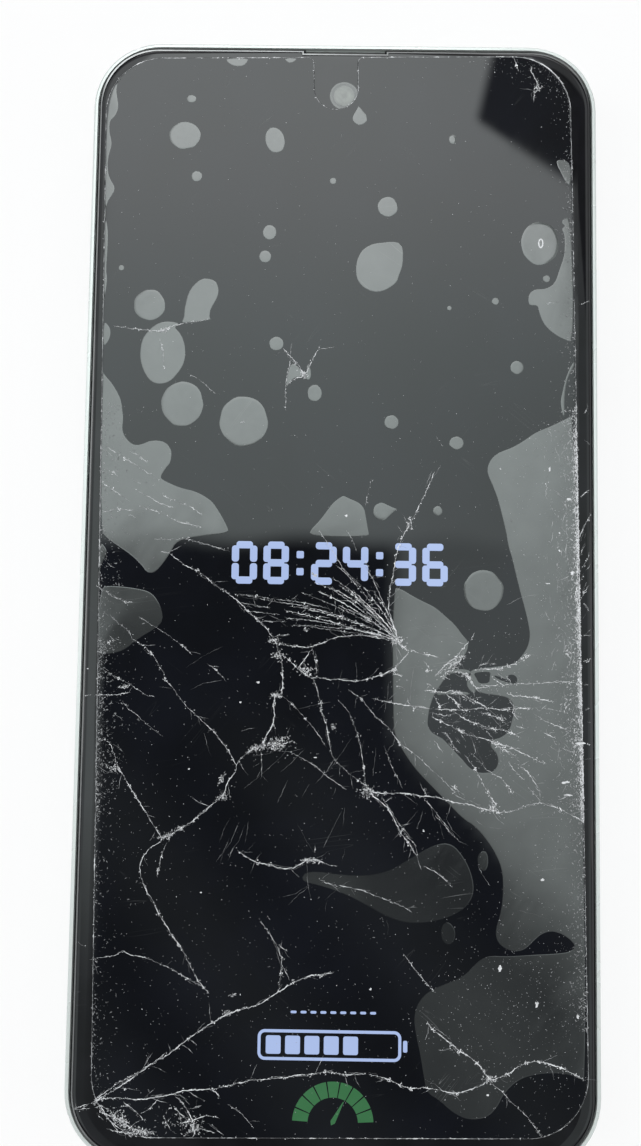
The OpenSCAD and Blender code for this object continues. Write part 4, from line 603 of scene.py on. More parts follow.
def guard_outline():
    """The protector's outline, with its round-bottomed notch, turned and shifted as it lies on the glass."""
    width, length = GUARD_SIZE
    middle, across, deep = NOTCH
    top, half, round_top = length / 2, across / 2, 0.9
    notch = []
    for i in range(7):
        a = math.radians(90 + 90 * i / 6)
        notch.append(
            (middle + half + round_top + round_top * math.cos(a), top - round_top + round_top * math.sin(a))
        )
    for i in range(25):
        a = math.radians(-180 * i / 24)
        notch.append((middle + half * math.cos(a), top - deep + half + half * math.sin(a)))
    for i in range(7):
        a = math.radians(90 * i / 6)
        notch.append(
            (middle - half - round_top + round_top * math.cos(a), top - round_top + round_top * math.sin(a))
        )
    points = with_notch(rounded_outline(width, length, GUARD_CORNER), notch, top)
    c, s = math.cos(GUARD_TURN), math.sin(GUARD_TURN)
    return [(x * c - y * s, x * s + y * c + GUARD_SHIFT) for x, y in points]


def held_inside(x, y, margin=0.14):
    """The nearest spot on the protector, off its edge by a margin."""
    c, s = math.cos(GUARD_TURN), math.sin(GUARD_TURN)
    u, v = x * c + (y - GUARD_SHIFT) * s, -x * s + (y - GUARD_SHIFT) * c
    far_u, far_v, corner = GUARD_SIZE[0] / 2 - margin, GUARD_SIZE[1] / 2 - margin, GUARD_CORNER - margin
    u, v = max(-far_u, min(far_u, u)), max(-far_v, min(far_v, v))
    over_u, over_v = max(0.0, abs(u) - far_u + corner), max(0.0, abs(v) - far_v + corner)
    beyond = math.hypot(over_u, over_v)
    if beyond > corner:
        u = math.copysign(far_u - corner + over_u * corner / beyond, u)
        v = math.copysign(far_v - corner + over_v * corner / beyond, v)
    return u * c - v * s, u * s + v * c + GUARD_SHIFT


def area_of(points):
    return sum(a[0] * b[1] - b[0] * a[1] for a, b in zip(points, points[1:] + points[:1])) / 2


def anticlockwise(points):
    return points if area_of(points) > 0 else points[::-1]


def softened(points, rounds=2):
    """The closed outline with its corners cut, round after round."""
    for _ in range(rounds):
        points = [
            (a[0] * (1 - t) + b[0] * t, a[1] * (1 - t) + b[1] * t)
            for a, b in zip(points, points[1:] + points[:1]) for t in (0.25, 0.75)
        ]
    return points


def moved_in(points, distance):
    """An anticlockwise outline moved in by a distance, or out if it is negative."""
    made = []
    for i, p in enumerate(points):
        before, after = Vector(points[i - 1]), Vector(points[(i + 1) % len(points)])
        p = Vector(p)
        a, b = (p - before).normalized(), (after - p).normalized()
        side = Vector((-a.y - b.y, a.x + b.x))
        side = side.normalized() if side.length > 1e-6 else Vector((-a.y, a.x))
        share = max(0.5, side.dot(Vector((-a.y, a.x))))
        made.append(tuple(p + side * distance / share))
    return made


def filled(outline, spacing, rng):
    """Evenly sized triangles inside an outline: points and faces, with the outline's own points first."""
    xs, ys = [p[0] for p in outline], [p[1] for p in outline]
    corners = [Vector(p) for p in outline]
    inner, y = [], min(ys) + spacing / 2
    while y < max(ys):
        x = min(xs) + spacing / 2
        while x < max(xs):
            inner.append(Vector((x + rng.uniform(-0.2, 0.2) * spacing, y + rng.uniform(-0.2, 0.2) * spacing)))
            x += spacing
        y += spacing
    inner = [p for p in inner if clear_of(p, corners, spacing * 0.45)]
    edges = [(i, (i + 1) % len(corners)) for i in range(len(corners))]
    made = geometry.delaunay_2d_cdt(corners + inner, edges, [], 1, 1e-6)
    return [tuple(p) for p in made[0]], [tuple(f) for f in made[2]]


def clear_of(point, outline, gap):
    """True if a point is inside an outline and no nearer to it than a gap."""
    inside = False
    for a, b in zip(outline, outline[1:] + outline[:1]):
        if (a.y > point.y) != (b.y > point.y) and point.x < a.x + (point.y - a.y) * (b.x - a.x) / (b.y - a.y):
            inside = not inside
        share = max(0.0, min(1.0, geometry.intersect_point_line(point, a, b)[1]))
        if (point - (a + (b - a) * share)).length < gap:
            return False
    return inside


def walked(route, step, rng, shake=0.06):
    """Points along a route about a step apart, each a little off the line."""
    points = []
    for a, b in zip(route, route[1:]):
        a, b = Vector(a), Vector(b)
        run = b - a
        count = max(1, round(run.length / step))
        side = Vector((-run.y, run.x)).normalized() if run.length else Vector((0, 0))
        points += [a + run * (i / count) + side * rng.uniform(-shake, shake) for i in range(count)]
    return points + [Vector(route[-1])]


def glass_height(x, y):
    """Height in metres of the bare glass, which falls away towards its edge."""
    inset = min(GLASS_BOX[1][0] / MM - abs(x), GLASS_BOX[1][1] / MM - abs(y))
    for (near, low), (far, high) in zip(GLASS_CURVE, GLASS_CURVE[1:]):
        if inset < far:
            share = max(0.0, (inset - near) / (far - near)) if far > near else 1.0
            return GLASS_TOP - (low + (high - low) * share) * MM
    return GLASS_TOP


# the cover glass's rounded edge: distance in from the edge, and how far it has dropped there, in millimetres
GLASS_CURVE = [
    (0.0, 0.7), (0.0, 0.52), (0.1, 0.34), (0.3, 0.2), (0.42, 0.16), (0.6, 0.115), (1.0, 0.06), (1.6, 0.016),
    (2.05, 0.0), (2.15, 0.0)
]


# ---------------------------------------------------------------- mesh work
class Relief:
    """Thin work on the glass, gathered into one mesh. Each point keeps a tone, from dark 0 to pale 1: the
    brightness of broken glass, and on some pieces painted reflections, highlights and glints.
    """

    def __init__(self, seed=1):
        self.points, self.faces, self.tones = [], [], []
        self.rng = random.Random(seed)

    def add(self, points, faces, tones):
        """Adds points in metres."""
        first = len(self.points)
        self.points += points
        self.faces += [tuple(first + i for i in face) for face in faces]
        self.tones += tones

    def lay(self, outline, low, high, rim, tone, spacing=1.4, rim_tone=1.0):
        """A raised patch: a filled top, and a sloping rim round it."""
        outer = anticlockwise(outline)
        inner = moved_in(outer, rim * 1.5)
        points, faces = filled(inner, spacing, self.rng)
        top = [(x * MM, y * MM, high) for x, y in points]
        tones = [tone(x, y) for x, y in points]
        n, inside = len(outer), 0
        for ring, height, share in ((moved_in(outer, rim), high, 1.0), (outer, low, rim_tone)):
            first = len(top)
            top += [(x * MM, y * MM, height) for x, y in ring]
            tones += [tone(x, y) * share for x, y in ring]
            faces += [(inside + i, first + i, first + (i + 1) % n, inside + (i + 1) % n) for i in range(n)]
            inside = first
        self.add(top, faces, tones)

    def ridge(self, route, width, strength, low, lift, step=0.26, shake=0.07):
        """A raised lip along a crack, ragged in width, height and tone, pointed at each end."""
        rng, stations = self.rng, walked(route, step, self.rng, shake)
        last, points, tones, faces, start = len(stations) - 1, [], [], [], rng.uniform(0, 90)
        for i, p in enumerate(stations):
            run = stations[min(i + 1, last)] - stations[max(i - 1, 0)]
            side = Vector((-run.y, run.x)).normalized() if run.length else Vector((0, 1))
            pulse = 0.22 + 0.78 * eased(
                noise.noise(
                    Vector((start + i * 0.21, 0.5, 0.5))
                ) + 0.7 * noise.noise(Vector((start + i * 0.9, 3.5, 0.5))),
                -0.3, 0.35
            )
            taper = min(1.0, 0.15 + 0.3 * min(i, last - i)) * (0.5 + 0.5 * pulse)
            half = width * taper * rng.uniform(0.25, 0.75)
            height = low(p.x, p.y) if callable(low) else low
            for share, up in ((1, 0), (rng.uniform(-0.4, 0.4), lift * taper * rng.uniform(0.5, 1)), (-1, 0)):
                q = p * MM + side * half * share
                points.append((q.x, q.y, height + up))
                tones.append(strength * pulse * rng.uniform(0.8, 1.2))
        for i in range(last):
            a, b = 3 * i, 3 * i + 3
            faces += [(a, a + 1, b + 1, b), (a + 1, a + 2, b + 2, b + 1)]
        self.add(points, faces, tones)
        return stations

    def splinter(self, x, y, length, width, turn, tone, low, lift):
        """A small tilted sliver of glass with three to five corners."""
        rng, count = self.rng, self.rng.choice((3, 4, 4, 5))
        height = low(x, y) if callable(low) else low
        points = []
        for i in range(count):
            a = 2 * math.pi * (i + rng.uniform(-0.25, 0.25)) / count
            u, v = length / 2 * math.cos(a), width / 2 * math.sin(a)
            points.append(
                (
                    x * MM + u * math.cos(turn) - v * math.sin(turn),
                    y * MM + u * math.sin(turn) + v * math.cos(turn), height + lift * rng.uniform(0.1, 1)
                )
            )
        self.add(points, [tuple(range(count))], [tone * rng.uniform(0.7, 1.1) for _ in points])

    def piece(self, name, material, body=HOUSING, slot=None):
        """The mesh as an object that rides on a body."""
        mesh = bpy.data.meshes.new(name)
        mesh.from_pydata(self.points, [], self.faces)
        mesh.update()
        shade = mesh.attributes.new("tone", "FLOAT", "POINT")
        shade.data.foreach_set("value", [max(0.0, min(1.0, t)) for t in self.tones])
        return placed(name, mesh, material, body)


def added(name, data):
    """A new object in the scene."""
    made = bpy.data.objects.new(name, data)
    bpy.context.scene.collection.objects.link(made)
    return made


def placed(name, mesh, material, body=HOUSING, smooth=35):
    """A mesh as an object in the scene, with its finish, riding on a body."""
    if not mesh.polygons:
        raise RuntimeError(f"{name} has no faces")
    mesh.materials.append(material)
    mesh.shade_smooth()
    mesh.set_sharp_from_angle(angle=math.radians(smooth))
    piece = added(name, mesh)
    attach(piece, body)
    return piece


def ring_faces(count, rings):
    """Quads between closed rings of count points each, numbered ring after ring."""
    return [
        (r * count + i, r * count + (i + 1) % count, (r + 1) * count + (i + 1) % count, (r + 1) * count + i)
        for r in range(rings - 1)
        for i in range(count)
    ]


def domed_faces(count, rings):
    """Ring faces, closed by a fan to one last point."""
    last = (rings - 1) * count
    return ring_faces(count, rings) + [
        (last + i, last + (i + 1) % count, rings * count) for i in range(count)
    ]


def ringed_mesh(name, rings, caps=(False, True), spacing=4.0, seed=5):
    """A solid of stacked outlines, each (points in millimetres, height in metres), with its ends filled."""
    rng, points, n = random.Random(seed), [], len(rings[0][0])
    for outline, height in rings:
        points += [(x * MM, y * MM, height) for x, y in outline]
    faces = ring_faces(n, len(rings))
    for wanted, ring, flip in ((caps[0], 0, True), (caps[1], len(rings) - 1, False)):
        if not wanted:
            continue
        outline, height = rings[ring]
        spots, cells = filled(outline, spacing, rng)
        first = len(points)
        points += [(x * MM, y * MM, height) for x, y in spots[n:]]
        number = lambda i, ring=ring, first=first: ring * n + i if i < n else first + i - n
        faces += [tuple(number(i) for i in (cell[::-1] if flip else cell)) for cell in cells]
    mesh = bpy.data.meshes.new(name)
    mesh.from_pydata(points, [], faces)
    mesh.update()
    return mesh


# ---------------------------------------------------------------- effects that several finishes share
def effect(name, inputs, outputs):
    """A new shader node group with its input and output nodes, as (tree, inputs, outputs)."""
    tree = bpy.data.node_groups.new(name, "ShaderNodeTree")
    for label, kind, value in inputs:
        tree.interface.new_socket(
            name=label, in_out="INPUT", socket_type="NodeSocket" + kind
        ).default_value = value
    for label, kind in outputs:
        tree.interface.new_socket(name=label, in_out="OUTPUT", socket_type="NodeSocket" + kind)
    return tree, tree.nodes.new("NodeGroupInput"), tree.nodes.new("NodeGroupOutput")


def sums(tree, operation, a, b=0.0, c=0.0):
    """A maths node whose inputs are numbers or sockets."""
    node = tree.nodes.new("ShaderNodeMath")
    node.operation = operation
    for socket, value in zip(node.inputs, (a, b, c)):
        if isinstance(value, (int, float)):
            socket.default_value = value
        else:
            tree.links.new(value, socket)
    return node.outputs[0]


def spread(tree, value, low, high, to_low, to_high):
    """A value moved from one range to another, held at its ends."""
    node = tree.nodes.new("ShaderNodeMapRange")
    tree.links.new(value, node.inputs["Value"])
    for label, number in (("From Min", low), ("From Max", high), ("To Min", to_low), ("To Max", to_high)):
        if isinstance(number, (int, float)):
            node.inputs[label].default_value = number
        else:
            tree.links.new(number, node.inputs[label])
    return node.outputs["Result"]


def stretched(tree, turn, stretch, axis="Z"):
    """The object's coordinates, turned about an axis and stretched, for streaks that run one way."""
    spot = tree.nodes.new("ShaderNodeTexCoord")
    turned = tree.nodes.new("ShaderNodeVectorRotate")
    turned.rotation_type = axis + "_AXIS"
    turned.inputs["Angle"].default_value = math.radians(turn)
    tree.links.new(spot.outputs["Object"], turned.inputs["Vector"])
    scaled = tree.nodes.new("ShaderNodeVectorMath")
    scaled.operation = "MULTIPLY"
    scaled.inputs[1].default_value = stretch
    tree.links.new(turned.outputs[0], scaled.inputs[0])
    return scaled.outputs[0]


def clouds(tree, vector, scale, detail=3.0, distortion=0.0):
    """A noise texture's factor."""
    node = tree.nodes.new("ShaderNodeTexNoise")
    node.inputs["Detail"].default_value = detail
    tree.links.new(vector, node.inputs["Vector"])
    for label, value in (("Scale", scale), ("Distortion", distortion)):
        if isinstance(value, (int, float)):
            node.inputs[label].default_value = value
        else:
            tree.links.new(value, node.inputs[label])
    return node.outputs["Fac"]


# the way that scratches run on a face, by the axis that the face looks along
SCRATCH_RUNS = (
    ("X", (3, -8, 12), (1, 0.035, 1)),
    ("Y", (4, -7, 11), (0.035, 1, 1)),
    ("Z", (38, -52, 81), (1, 0.035, 1)),
)


def make_effects():
    """Skin marks, hairline scratches, blotches and grain."""
    tree, given, out = effect(
        "Skin Marks",
        [("Scale", "Float", 60.0), ("Low", "Float", 0.04), ("High", "Float", 0.2), ("Smear", "Float", 1.4)],
        [("Roughness", "Float")]
    )
    marks = clouds(
        tree, stretched(tree, 25, (1, 0.6, 1)), given.outputs["Scale"], 5.0, given.outputs["Smear"]
    )
    tree.links.new(
        spread(tree, marks, 0.42, 0.68, given.outputs["Low"], given.outputs["High"]), out.inputs["Roughness"]
    )

    tree, given, out = effect(
        "Hairline Scratches", [("Scale", "Float", 900.0), ("Width", "Float", 0.012)],
        [("Mask", "Float"), ("Height", "Float")]
    )
    facing = tree.nodes.new("ShaderNodeSeparateXYZ")
    tree.links.new(tree.nodes.new("ShaderNodeTexCoord").outputs["Normal"], facing.inputs["Vector"])
    mask = 0.0
    for axis, turns, stretch in SCRATCH_RUNS:
        toward = spread(tree, sums(tree, "ABSOLUTE", facing.outputs[axis]), 0.6, 0.8, 0.0, 1.0)
        for turn in turns:
            line = clouds(tree, stretched(tree, turn, stretch, axis), given.outputs["Scale"], 1.0)
            thin = spread(
                tree, sums(tree, "ABSOLUTE", sums(tree, "SUBTRACT", line, 0.6)), 0.0, given.outputs["Width"],
                1.0, 0.0
            )
            here = spread(
                tree, clouds(tree, stretched(tree, turn + 20, (1, 1, 1)), 95.0, 2.0), 0.6, 0.74, 0.0, 1.0
            )
            layer = sums(tree, "MULTIPLY", sums(tree, "MULTIPLY", thin, here), toward)
            mask = sums(tree, "MAXIMUM", mask, layer)
    tree.links.new(mask, out.inputs["Mask"])
    tree.links.new(sums(tree, "MULTIPLY", mask, -1.0), out.inputs["Height"])

    tree, given, out = effect(
        "Blotches",
        [
            ("Color", "Color", (0.5, 0.5, 0.5, 1)), ("Other", "Color", (0.4, 0.4, 0.4, 1)),
            ("Scale", "Float", 120.0), ("Amount", "Float", 0.5)
        ],
        [("Color", "Color"), ("Mask", "Float")]
    )
    cloud = spread(
        tree, clouds(tree, stretched(tree, 10, (1, 1, 1)), given.outputs["Scale"], 6.0, 0.3), 0.4, 0.7, 0.0,
        given.outputs["Amount"]
    )
    mix = tree.nodes.new("ShaderNodeMix")
    mix.data_type = "RGBA"
    tree.links.new(cloud, mix.inputs["Factor"])
    tree.links.new(given.outputs["Color"], mix.inputs["A"])
    tree.links.new(given.outputs["Other"], mix.inputs["B"])
    tree.links.new(mix.outputs["Result"], out.inputs["Color"])
    tree.links.new(cloud, out.inputs["Mask"])

    tree, given, out = effect("Fine Grain", [("Scale", "Float", 4000.0)], [("Height", "Float")])
    tree.links.new(
        clouds(tree, stretched(tree, 0, (1, 1, 1)), given.outputs["Scale"], 3.0), out.inputs["Height"]
    )


class Finish:
    """A material in the making: its Principled shader and the effects that feed it."""

    def __init__(self, name, colour, roughness=0.4, metallic=0.0, ior=1.5, coat=0.0):
        self.name = name
        self.material = bpy.data.materials.new(name)
        self.material.use_nodes = True
        self.tree = self.material.node_tree
        self.shader = self.tree.nodes["Principled BSDF"]
        self.colour = (*colour, 1.0)
        self.shader.inputs["Base Color"].default_value = self.colour
        self.shader.inputs["Roughness"].default_value = roughness
        self.shader.inputs["Metallic"].default_value = metallic
        self.shader.inputs["IOR"].default_value = ior
        self.shader.inputs["Coat Weight"].default_value = coat
        self.material.diffuse_color = self.colour

    def effect(self, name, **values):
        node = self.tree.nodes.new("ShaderNodeGroup")
        node.node_tree = bpy.data.node_groups[name]
        for label, value in values.items():
            node.inputs[label.replace("_", " ")].default_value = value
        return node

    def to(self, output, label):
        self.tree.links.new(output, self.shader.inputs[label])
        return self

    def blotched(self, other, scale=120.0, amount=0.5):
        node = self.effect("Blotches", Color=self.colour, Other=(*other, 1.0), Scale=scale, Amount=amount)
        return self.to(node.outputs["Color"], "Base Color")

    def handled(self, low, high, scale=60.0, smear=1.4):
        return self.to(
            self.effect("Skin Marks", Scale=scale, Low=low, High=high, Smear=smear).outputs["Roughness"],
            "Roughness"
        )

    def glowing(self, colour, strength):
        self.shader.inputs["Emission Color"].default_value = (*colour, 1.0)
        self.shader.inputs["Emission Strength"].default_value = strength
        return self

    def over(self, mask, colour):
        """Paints a colour over the base colour where the mask is high."""
        mix = self.tree.nodes.new("ShaderNodeMix")
        mix.data_type = "RGBA"
        self.tree.links.new(mask, mix.inputs["Factor"])
        below = self.shader.inputs["Base Color"]
        if below.is_linked:
            self.tree.links.new(below.links[0].from_socket, mix.inputs["A"])
        else:
            mix.inputs["A"].default_value = self.colour
        mix.inputs["B"].default_value = (*colour, 1.0)
        return self.to(mix.outputs["Result"], "Base Color")

    def scratched(self, colour, scale=900.0, width=0.012):
        return self.over(self.effect("Hairline Scratches", Scale=scale, Width=width).outputs["Mask"], colour)

    def raised(self, height, distance, strength=1.0):
        bump = self.tree.nodes.new("ShaderNodeBump")
        bump.inputs["Distance"].default_value = distance
        bump.inputs["Strength"].default_value = strength
        self.tree.links.new(height, bump.inputs["Height"])
        return self.to(bump.outputs["Normal"], "Normal")

    def grained(self, scale=4000.0, distance=0.004 * MM, strength=1.0):
        return self.raised(self.effect("Fine Grain", Scale=scale).outputs["Height"], distance, strength)

    def toned(self, dark, pale, scale=700.0, amount=0.25):
        """Colours the piece by its points' tone, from dark to pale, with a faint mottle."""
        tone = self.tree.nodes.new("ShaderNodeAttribute")
        tone.attribute_name = "tone"
        mottle = spread(
            self.tree, clouds(self.tree, stretched(self.tree, 0, (1, 1, 1)), scale, 5.0), 0.3, 0.7,
            1.0 - amount, 1.0
        )
        mix = self.tree.nodes.new("ShaderNodeMix")
        mix.data_type = "RGBA"
        self.tree.links.new(sums(self.tree, "MULTIPLY", tone.outputs["Fac"], mottle), mix.inputs["Factor"])
        mix.inputs["A"].default_value = (*dark, 1.0)
        mix.inputs["B"].default_value = (*pale, 1.0)
        return self.to(mix.outputs["Result"], "Base Color")


def perforated(name, colour, pitch):
    """A fine woven mesh over a dark chamber, its holes painted near black: painted shade over the chamber's
    own dark.
    """
    made = Finish(name, colour, 0.5, 0.6)
    cells = made.tree.nodes.new("ShaderNodeTexVoronoi")
    cells.inputs["Scale"].default_value = 1.0 / pitch
    cells.inputs["Randomness"].default_value = 0.0
    made.tree.links.new(stretched(made.tree, 0, (1, 1, 1)), cells.inputs["Vector"])
    # The holes are painted near black: painted shade in the holes, over the chamber's own dark colour.
    hole_shade = spread(made.tree, cells.outputs["Distance"], 0.25, 0.4, 1.0, 0.0)
    return made.over(hole_shade, (0.002, 0.002, 0.002)).raised(cells.outputs["Distance"], 0.02 * MM)


def circuit(name, colour, track):
    """Solder mask over fine copper tracks."""
    made = Finish(name, colour, 0.35, 0.0, coat=0.4)
    bricks = made.tree.nodes.new("ShaderNodeTexBrick")
    bricks.inputs["Scale"].default_value = 1.0
    bricks.inputs["Brick Width"].default_value = 1.6 * MM
    bricks.inputs["Row Height"].default_value = 0.45 * MM
    bricks.inputs["Mortar Size"].default_value = 0.05 * MM
    made.tree.links.new(stretched(made.tree, 0, (1, 1, 1)), bricks.inputs["Vector"])
    return made.over(bricks.outputs["Fac"], track).handled(0.28, 0.5, 200.0)


def dim(colour, share):
    return tuple(share * x for x in colour)


def grey(level):
    return (level, level, level)


def make_finishes():
    """Every finish that the CAD nodes and the pieces wear, by the name of its material slot."""
    make_effects()
    c = colours()
    shown = (c.silver, c.cover, c.border, c.bonded, c.pocket_reflection, c.broken, c.lit, c.gauge)
    silver, cover, border, bonded, pocket_reflection, broken, lit, gauge = (tuple(colour) for colour in shown)
    return [
        Finish("frame_silver", silver, 0.3, 0.25, coat=0.2).blotched(dim(silver, 0.93), 45.0, 0.5)
        .scratched(dim(silver, 0.62), 520.0, 0.006).handled(0.26, 0.36, 150.0, 0.1)
        .grained(6000.0, 0.003 * MM),
        Finish("key_silver", dim(silver, 0.95), 0.28, 0.35, coat=0.2).blotched(dim(silver, 0.86), 150.0, 0.5)
        .handled(0.24, 0.34, 300.0, 0.1).grained(7000.0, 0.003 * MM),
        Finish("cover_plastic", cover, 0.2, 0.0, coat=0.5).blotched(dim(cover, 0.88), 40.0, 0.7)
        .scratched(dim(cover, 0.6), 500.0, 0.012).handled(0.1, 0.34, 45.0).grained(3000.0, 0.002 * MM),
        Finish("camera_plate_black", (0.02, 0.022, 0.024), 0.2, 0.1, coat=0.6)
        .blotched((0.028, 0.03, 0.033), 120.0, 0.5).scratched(grey(0.12), 600.0, 0.008)
        .handled(0.12, 0.3, 160.0),
        Finish("lens_glass", (0.01, 0.012, 0.02), 0.04, 0.0, 1.6, 0.6)
        .blotched((0.02, 0.015, 0.05), 250.0, 0.8).handled(0.02, 0.12, 300.0),
        Finish("flash_cream", (0.86, 0.8, 0.55), 0.25, 0.0).blotched((0.8, 0.68, 0.3), 900.0, 0.9)
        .grained(1500.0, 0.05 * MM),
        Finish("led_yellow", (0.8, 0.6, 0.12), 0.5).blotched((0.6, 0.45, 0.1), 900.0, 0.7),
        Finish("camera_black", (0.015, 0.015, 0.016), 0.45).blotched(grey(0.03), 500.0, 0.6)
        .handled(0.35, 0.6, 300.0),
        Finish("front_lens", (0.01, 0.02, 0.03), 0.05, 0.0, 1.7).blotched((0.02, 0.03, 0.06), 900.0, 0.6)
        .handled(0.02, 0.1, 500.0),
        Finish("speaker_black", grey(0.02), 0.5).blotched(grey(0.035), 400.0, 0.6).grained(3000.0),
        perforated("mesh_black", grey(0.09), 0.22 * MM),
        Finish("sensor_violet", (0.08, 0.03, 0.12), 0.1).blotched((0.05, 0.03, 0.2), 1500.0, 0.7),
        circuit("board_green", (0.012, 0.09, 0.045), (0.03, 0.2, 0.1)),
        Finish("can_steel", (0.55, 0.55, 0.54), 0.35, 0.9).blotched((0.42, 0.42, 0.41), 300.0, 0.6)
        .handled(0.25, 0.45, 200.0).grained(5000.0),
        Finish("chip_black", (0.03, 0.03, 0.032), 0.6).blotched(grey(0.05), 900.0, 0.5).grained(6000.0),
        Finish("connector_cream", (0.7, 0.64, 0.5), 0.5).blotched((0.6, 0.54, 0.4), 900.0, 0.6),
        Finish("battery_grey", (0.1, 0.1, 0.105), 0.45).blotched((0.14, 0.14, 0.15), 120.0, 0.6)
        .handled(0.35, 0.6, 90.0).grained(1200.0, 0.02 * MM),
        Finish("white_tape", (0.75, 0.75, 0.72), 0.6).blotched((0.62, 0.62, 0.58), 400.0, 0.6),
        Finish("graphite_grey", (0.08, 0.08, 0.085), 0.5, 0.4).blotched(grey(0.12), 200.0, 0.6),
        Finish("amber_ribbon", (0.5, 0.2, 0.03), 0.35, 0.0, coat=0.3)
        .blotched((0.38, 0.14, 0.02), 600.0, 0.6),
        Finish("port_steel", grey(0.5), 0.3, 1.0).blotched(grey(0.36), 900.0, 0.6).handled(0.2, 0.45, 500.0),
        Finish("socket_black", grey(0.012), 0.5).blotched(grey(0.03), 900.0, 0.6),
        Finish("lead_black", grey(0.015), 0.5).blotched(grey(0.03), 900.0, 0.6),
        Finish("sensor_black", (0.02, 0.021, 0.023), 0.18, 0.0, coat=0.5).blotched(grey(0.04), 700.0, 0.5)
        .handled(0.1, 0.3, 400.0),
        Finish("bracket_black", grey(0.025), 0.6).blotched(grey(0.04), 400.0, 0.6).grained(3000.0),
        Finish("screw_steel", grey(0.5), 0.35, 1.0).blotched(grey(0.3), 900.0, 0.6),
        Finish("black_adhesive", grey(0.015), 0.7).blotched(grey(0.03), 500.0, 0.6),
        Finish("panel_black", (0.01, 0.01, 0.012), 0.3).blotched((0.02, 0.02, 0.024), 300.0, 0.6),
        Finish("screen_glass", border, 0.05, 0.0, 1.5).blotched(dim(border, 3.0), 120.0, 0.8)
        .scratched((0.03, 0.03, 0.033), 600.0, 0.005).handled(0.03, 0.11, 70.0),
        Finish("protector_glass", bonded, 0.04, 0.0, 1.5).blotched(dim(bonded, 2.0), 70.0, 0.8)
        .scratched((0.03, 0.032, 0.034), 620.0, 0.004).handled(0.02, 0.07, 38.0),
        # Air pockets: painted reflection, toned per point from the bonded colour up to the pocket colour.
        Finish("air_pocket", pocket_reflection, 0.12, 0.0, 1.82).toned(bonded, pocket_reflection, 260.0, 0.16)
        .scratched((0.2, 0.21, 0.21), 700.0, 0.004).handled(0.08, 0.2, 110.0),
        # Painted highlight on the glass's edge, toned per point from near black to pale.
        Finish("painted_edge_highlight", (0.2, 0.21, 0.21), 0.35, 0.0, 1.5)
        .toned((0.006, 0.006, 0.007), (0.72, 0.75, 0.75), 900.0, 0.2),
        # Painted dark reflection: a matte black band with little gloss, laid over the outer part of the
        # glass's curved edge.
        Finish("painted_dark_edge", (0.004, 0.004, 0.005), 0.8, 0.0, 1.12)
        .blotched((0.011, 0.011, 0.012), 60.0, 0.6),
        Finish("broken_glass", broken, 0.3, 0.0, 1.5).toned((0.03, 0.031, 0.033), broken, 2600.0, 0.25),
        Finish("glass_dust", broken, 0.55, 0.0, 1.5).toned((0.05, 0.05, 0.053), broken, 3000.0, 0.3),
        Finish("lit_digits", (0.02, 0.02, 0.03), 0.08).blotched((0.03, 0.03, 0.045), 300.0, 0.5)
        .handled(0.04, 0.12, 60.0).glowing(lit, 0.95),
        Finish("lit_gauge", (0.01, 0.03, 0.015), 0.08).blotched((0.02, 0.05, 0.03), 300.0, 0.5)
        .handled(0.04, 0.12, 60.0).glowing(gauge, 1.0),
        # Painted glint on the camera faces, toned per point from near black to pale.
        Finish("camera_glint", (0.2, 0.26, 0.22), 0.1, 0.0, 1.8)
        .toned((0.01, 0.012, 0.014), (0.36, 0.4, 0.35), 1500.0, 0.3).handled(0.05, 0.2, 600.0),
    ]


FINISHES = {}


# ---------------------------------------------------------------- the stage
# The camera looks almost straight down from close by. Its place is measured from the middle of the glass.
CAMERA_SPOT = Vector((-1.892, -5.646, 123.459)) * MM + Vector((0, 0, GLASS_TOP))
CAMERA_RIGHT = Vector((0.99988903, 0.01385729, -0.00546806))
CAMERA_UP = Vector((-0.01350684, 0.99812952, 0.05962398))
CAMERA_LENS = 26.7
CARD_HEIGHT = 370 * MM


def evenly(start, step, count):
    return [start + step * i for i in range(count)]


def card_light(x, y):
    """How bright the card is over a spot in millimetres: bright above, dim below, dark in one corner."""
    upper = eased(y + 0.5 * math.sin(0.3 * x), 4.5, 8.5)
    bright = 2.12 + 1.28 * eased(y, 5, 80) - 0.35 * eased(x, -5, 35)
    side = eased(
        x - 8.0 - 0.9 * max(0.0, -21.5 - y) - 0.35 * max(0.0, -40 - y), -1.2, 1.6
    ) * (1 - eased(-y, 50, 64))
    lower = 0.1 + 0.12 * (0.5 + 0.5 * math.sin(0.21 * x + 0.16 * y + 1.0)) * eased(-y, 12, 30)
    level = lower + (1.28 - 0.62 * eased(-y, 6, 36)) * side
    level = level + (bright - level) * upper
    flag = eased(
        x - 21.5 + 0.28 * (78 - y) * 0.8, -1.0, 1.2
    ) * eased(y - 69.5 + 0.68 * (x - 20.5), -1.0, 1.2) * (1 - eased(y, 82, 90))
    level *= 1 - 0.93 * flag
    beside = max(
        eased(-x - 35.15 - 0.014 * y, 0.0, 0.25) * 1.75 * (1 - 0.8 * eased(-y, 24, 66)),
        eased(x - 34.85 + 0.014 * y, 0.0, 0.25) * 0.62
    )
    outside = max(eased(-x - 35.15 - 0.014 * y, 0.0, 0.25), eased(x - 34.85 + 0.014 * y, 0.0, 0.25))
    return level * (1 - outside) + beside * (1 - 0.8 * flag) if abs(x) < 60 else 1.0


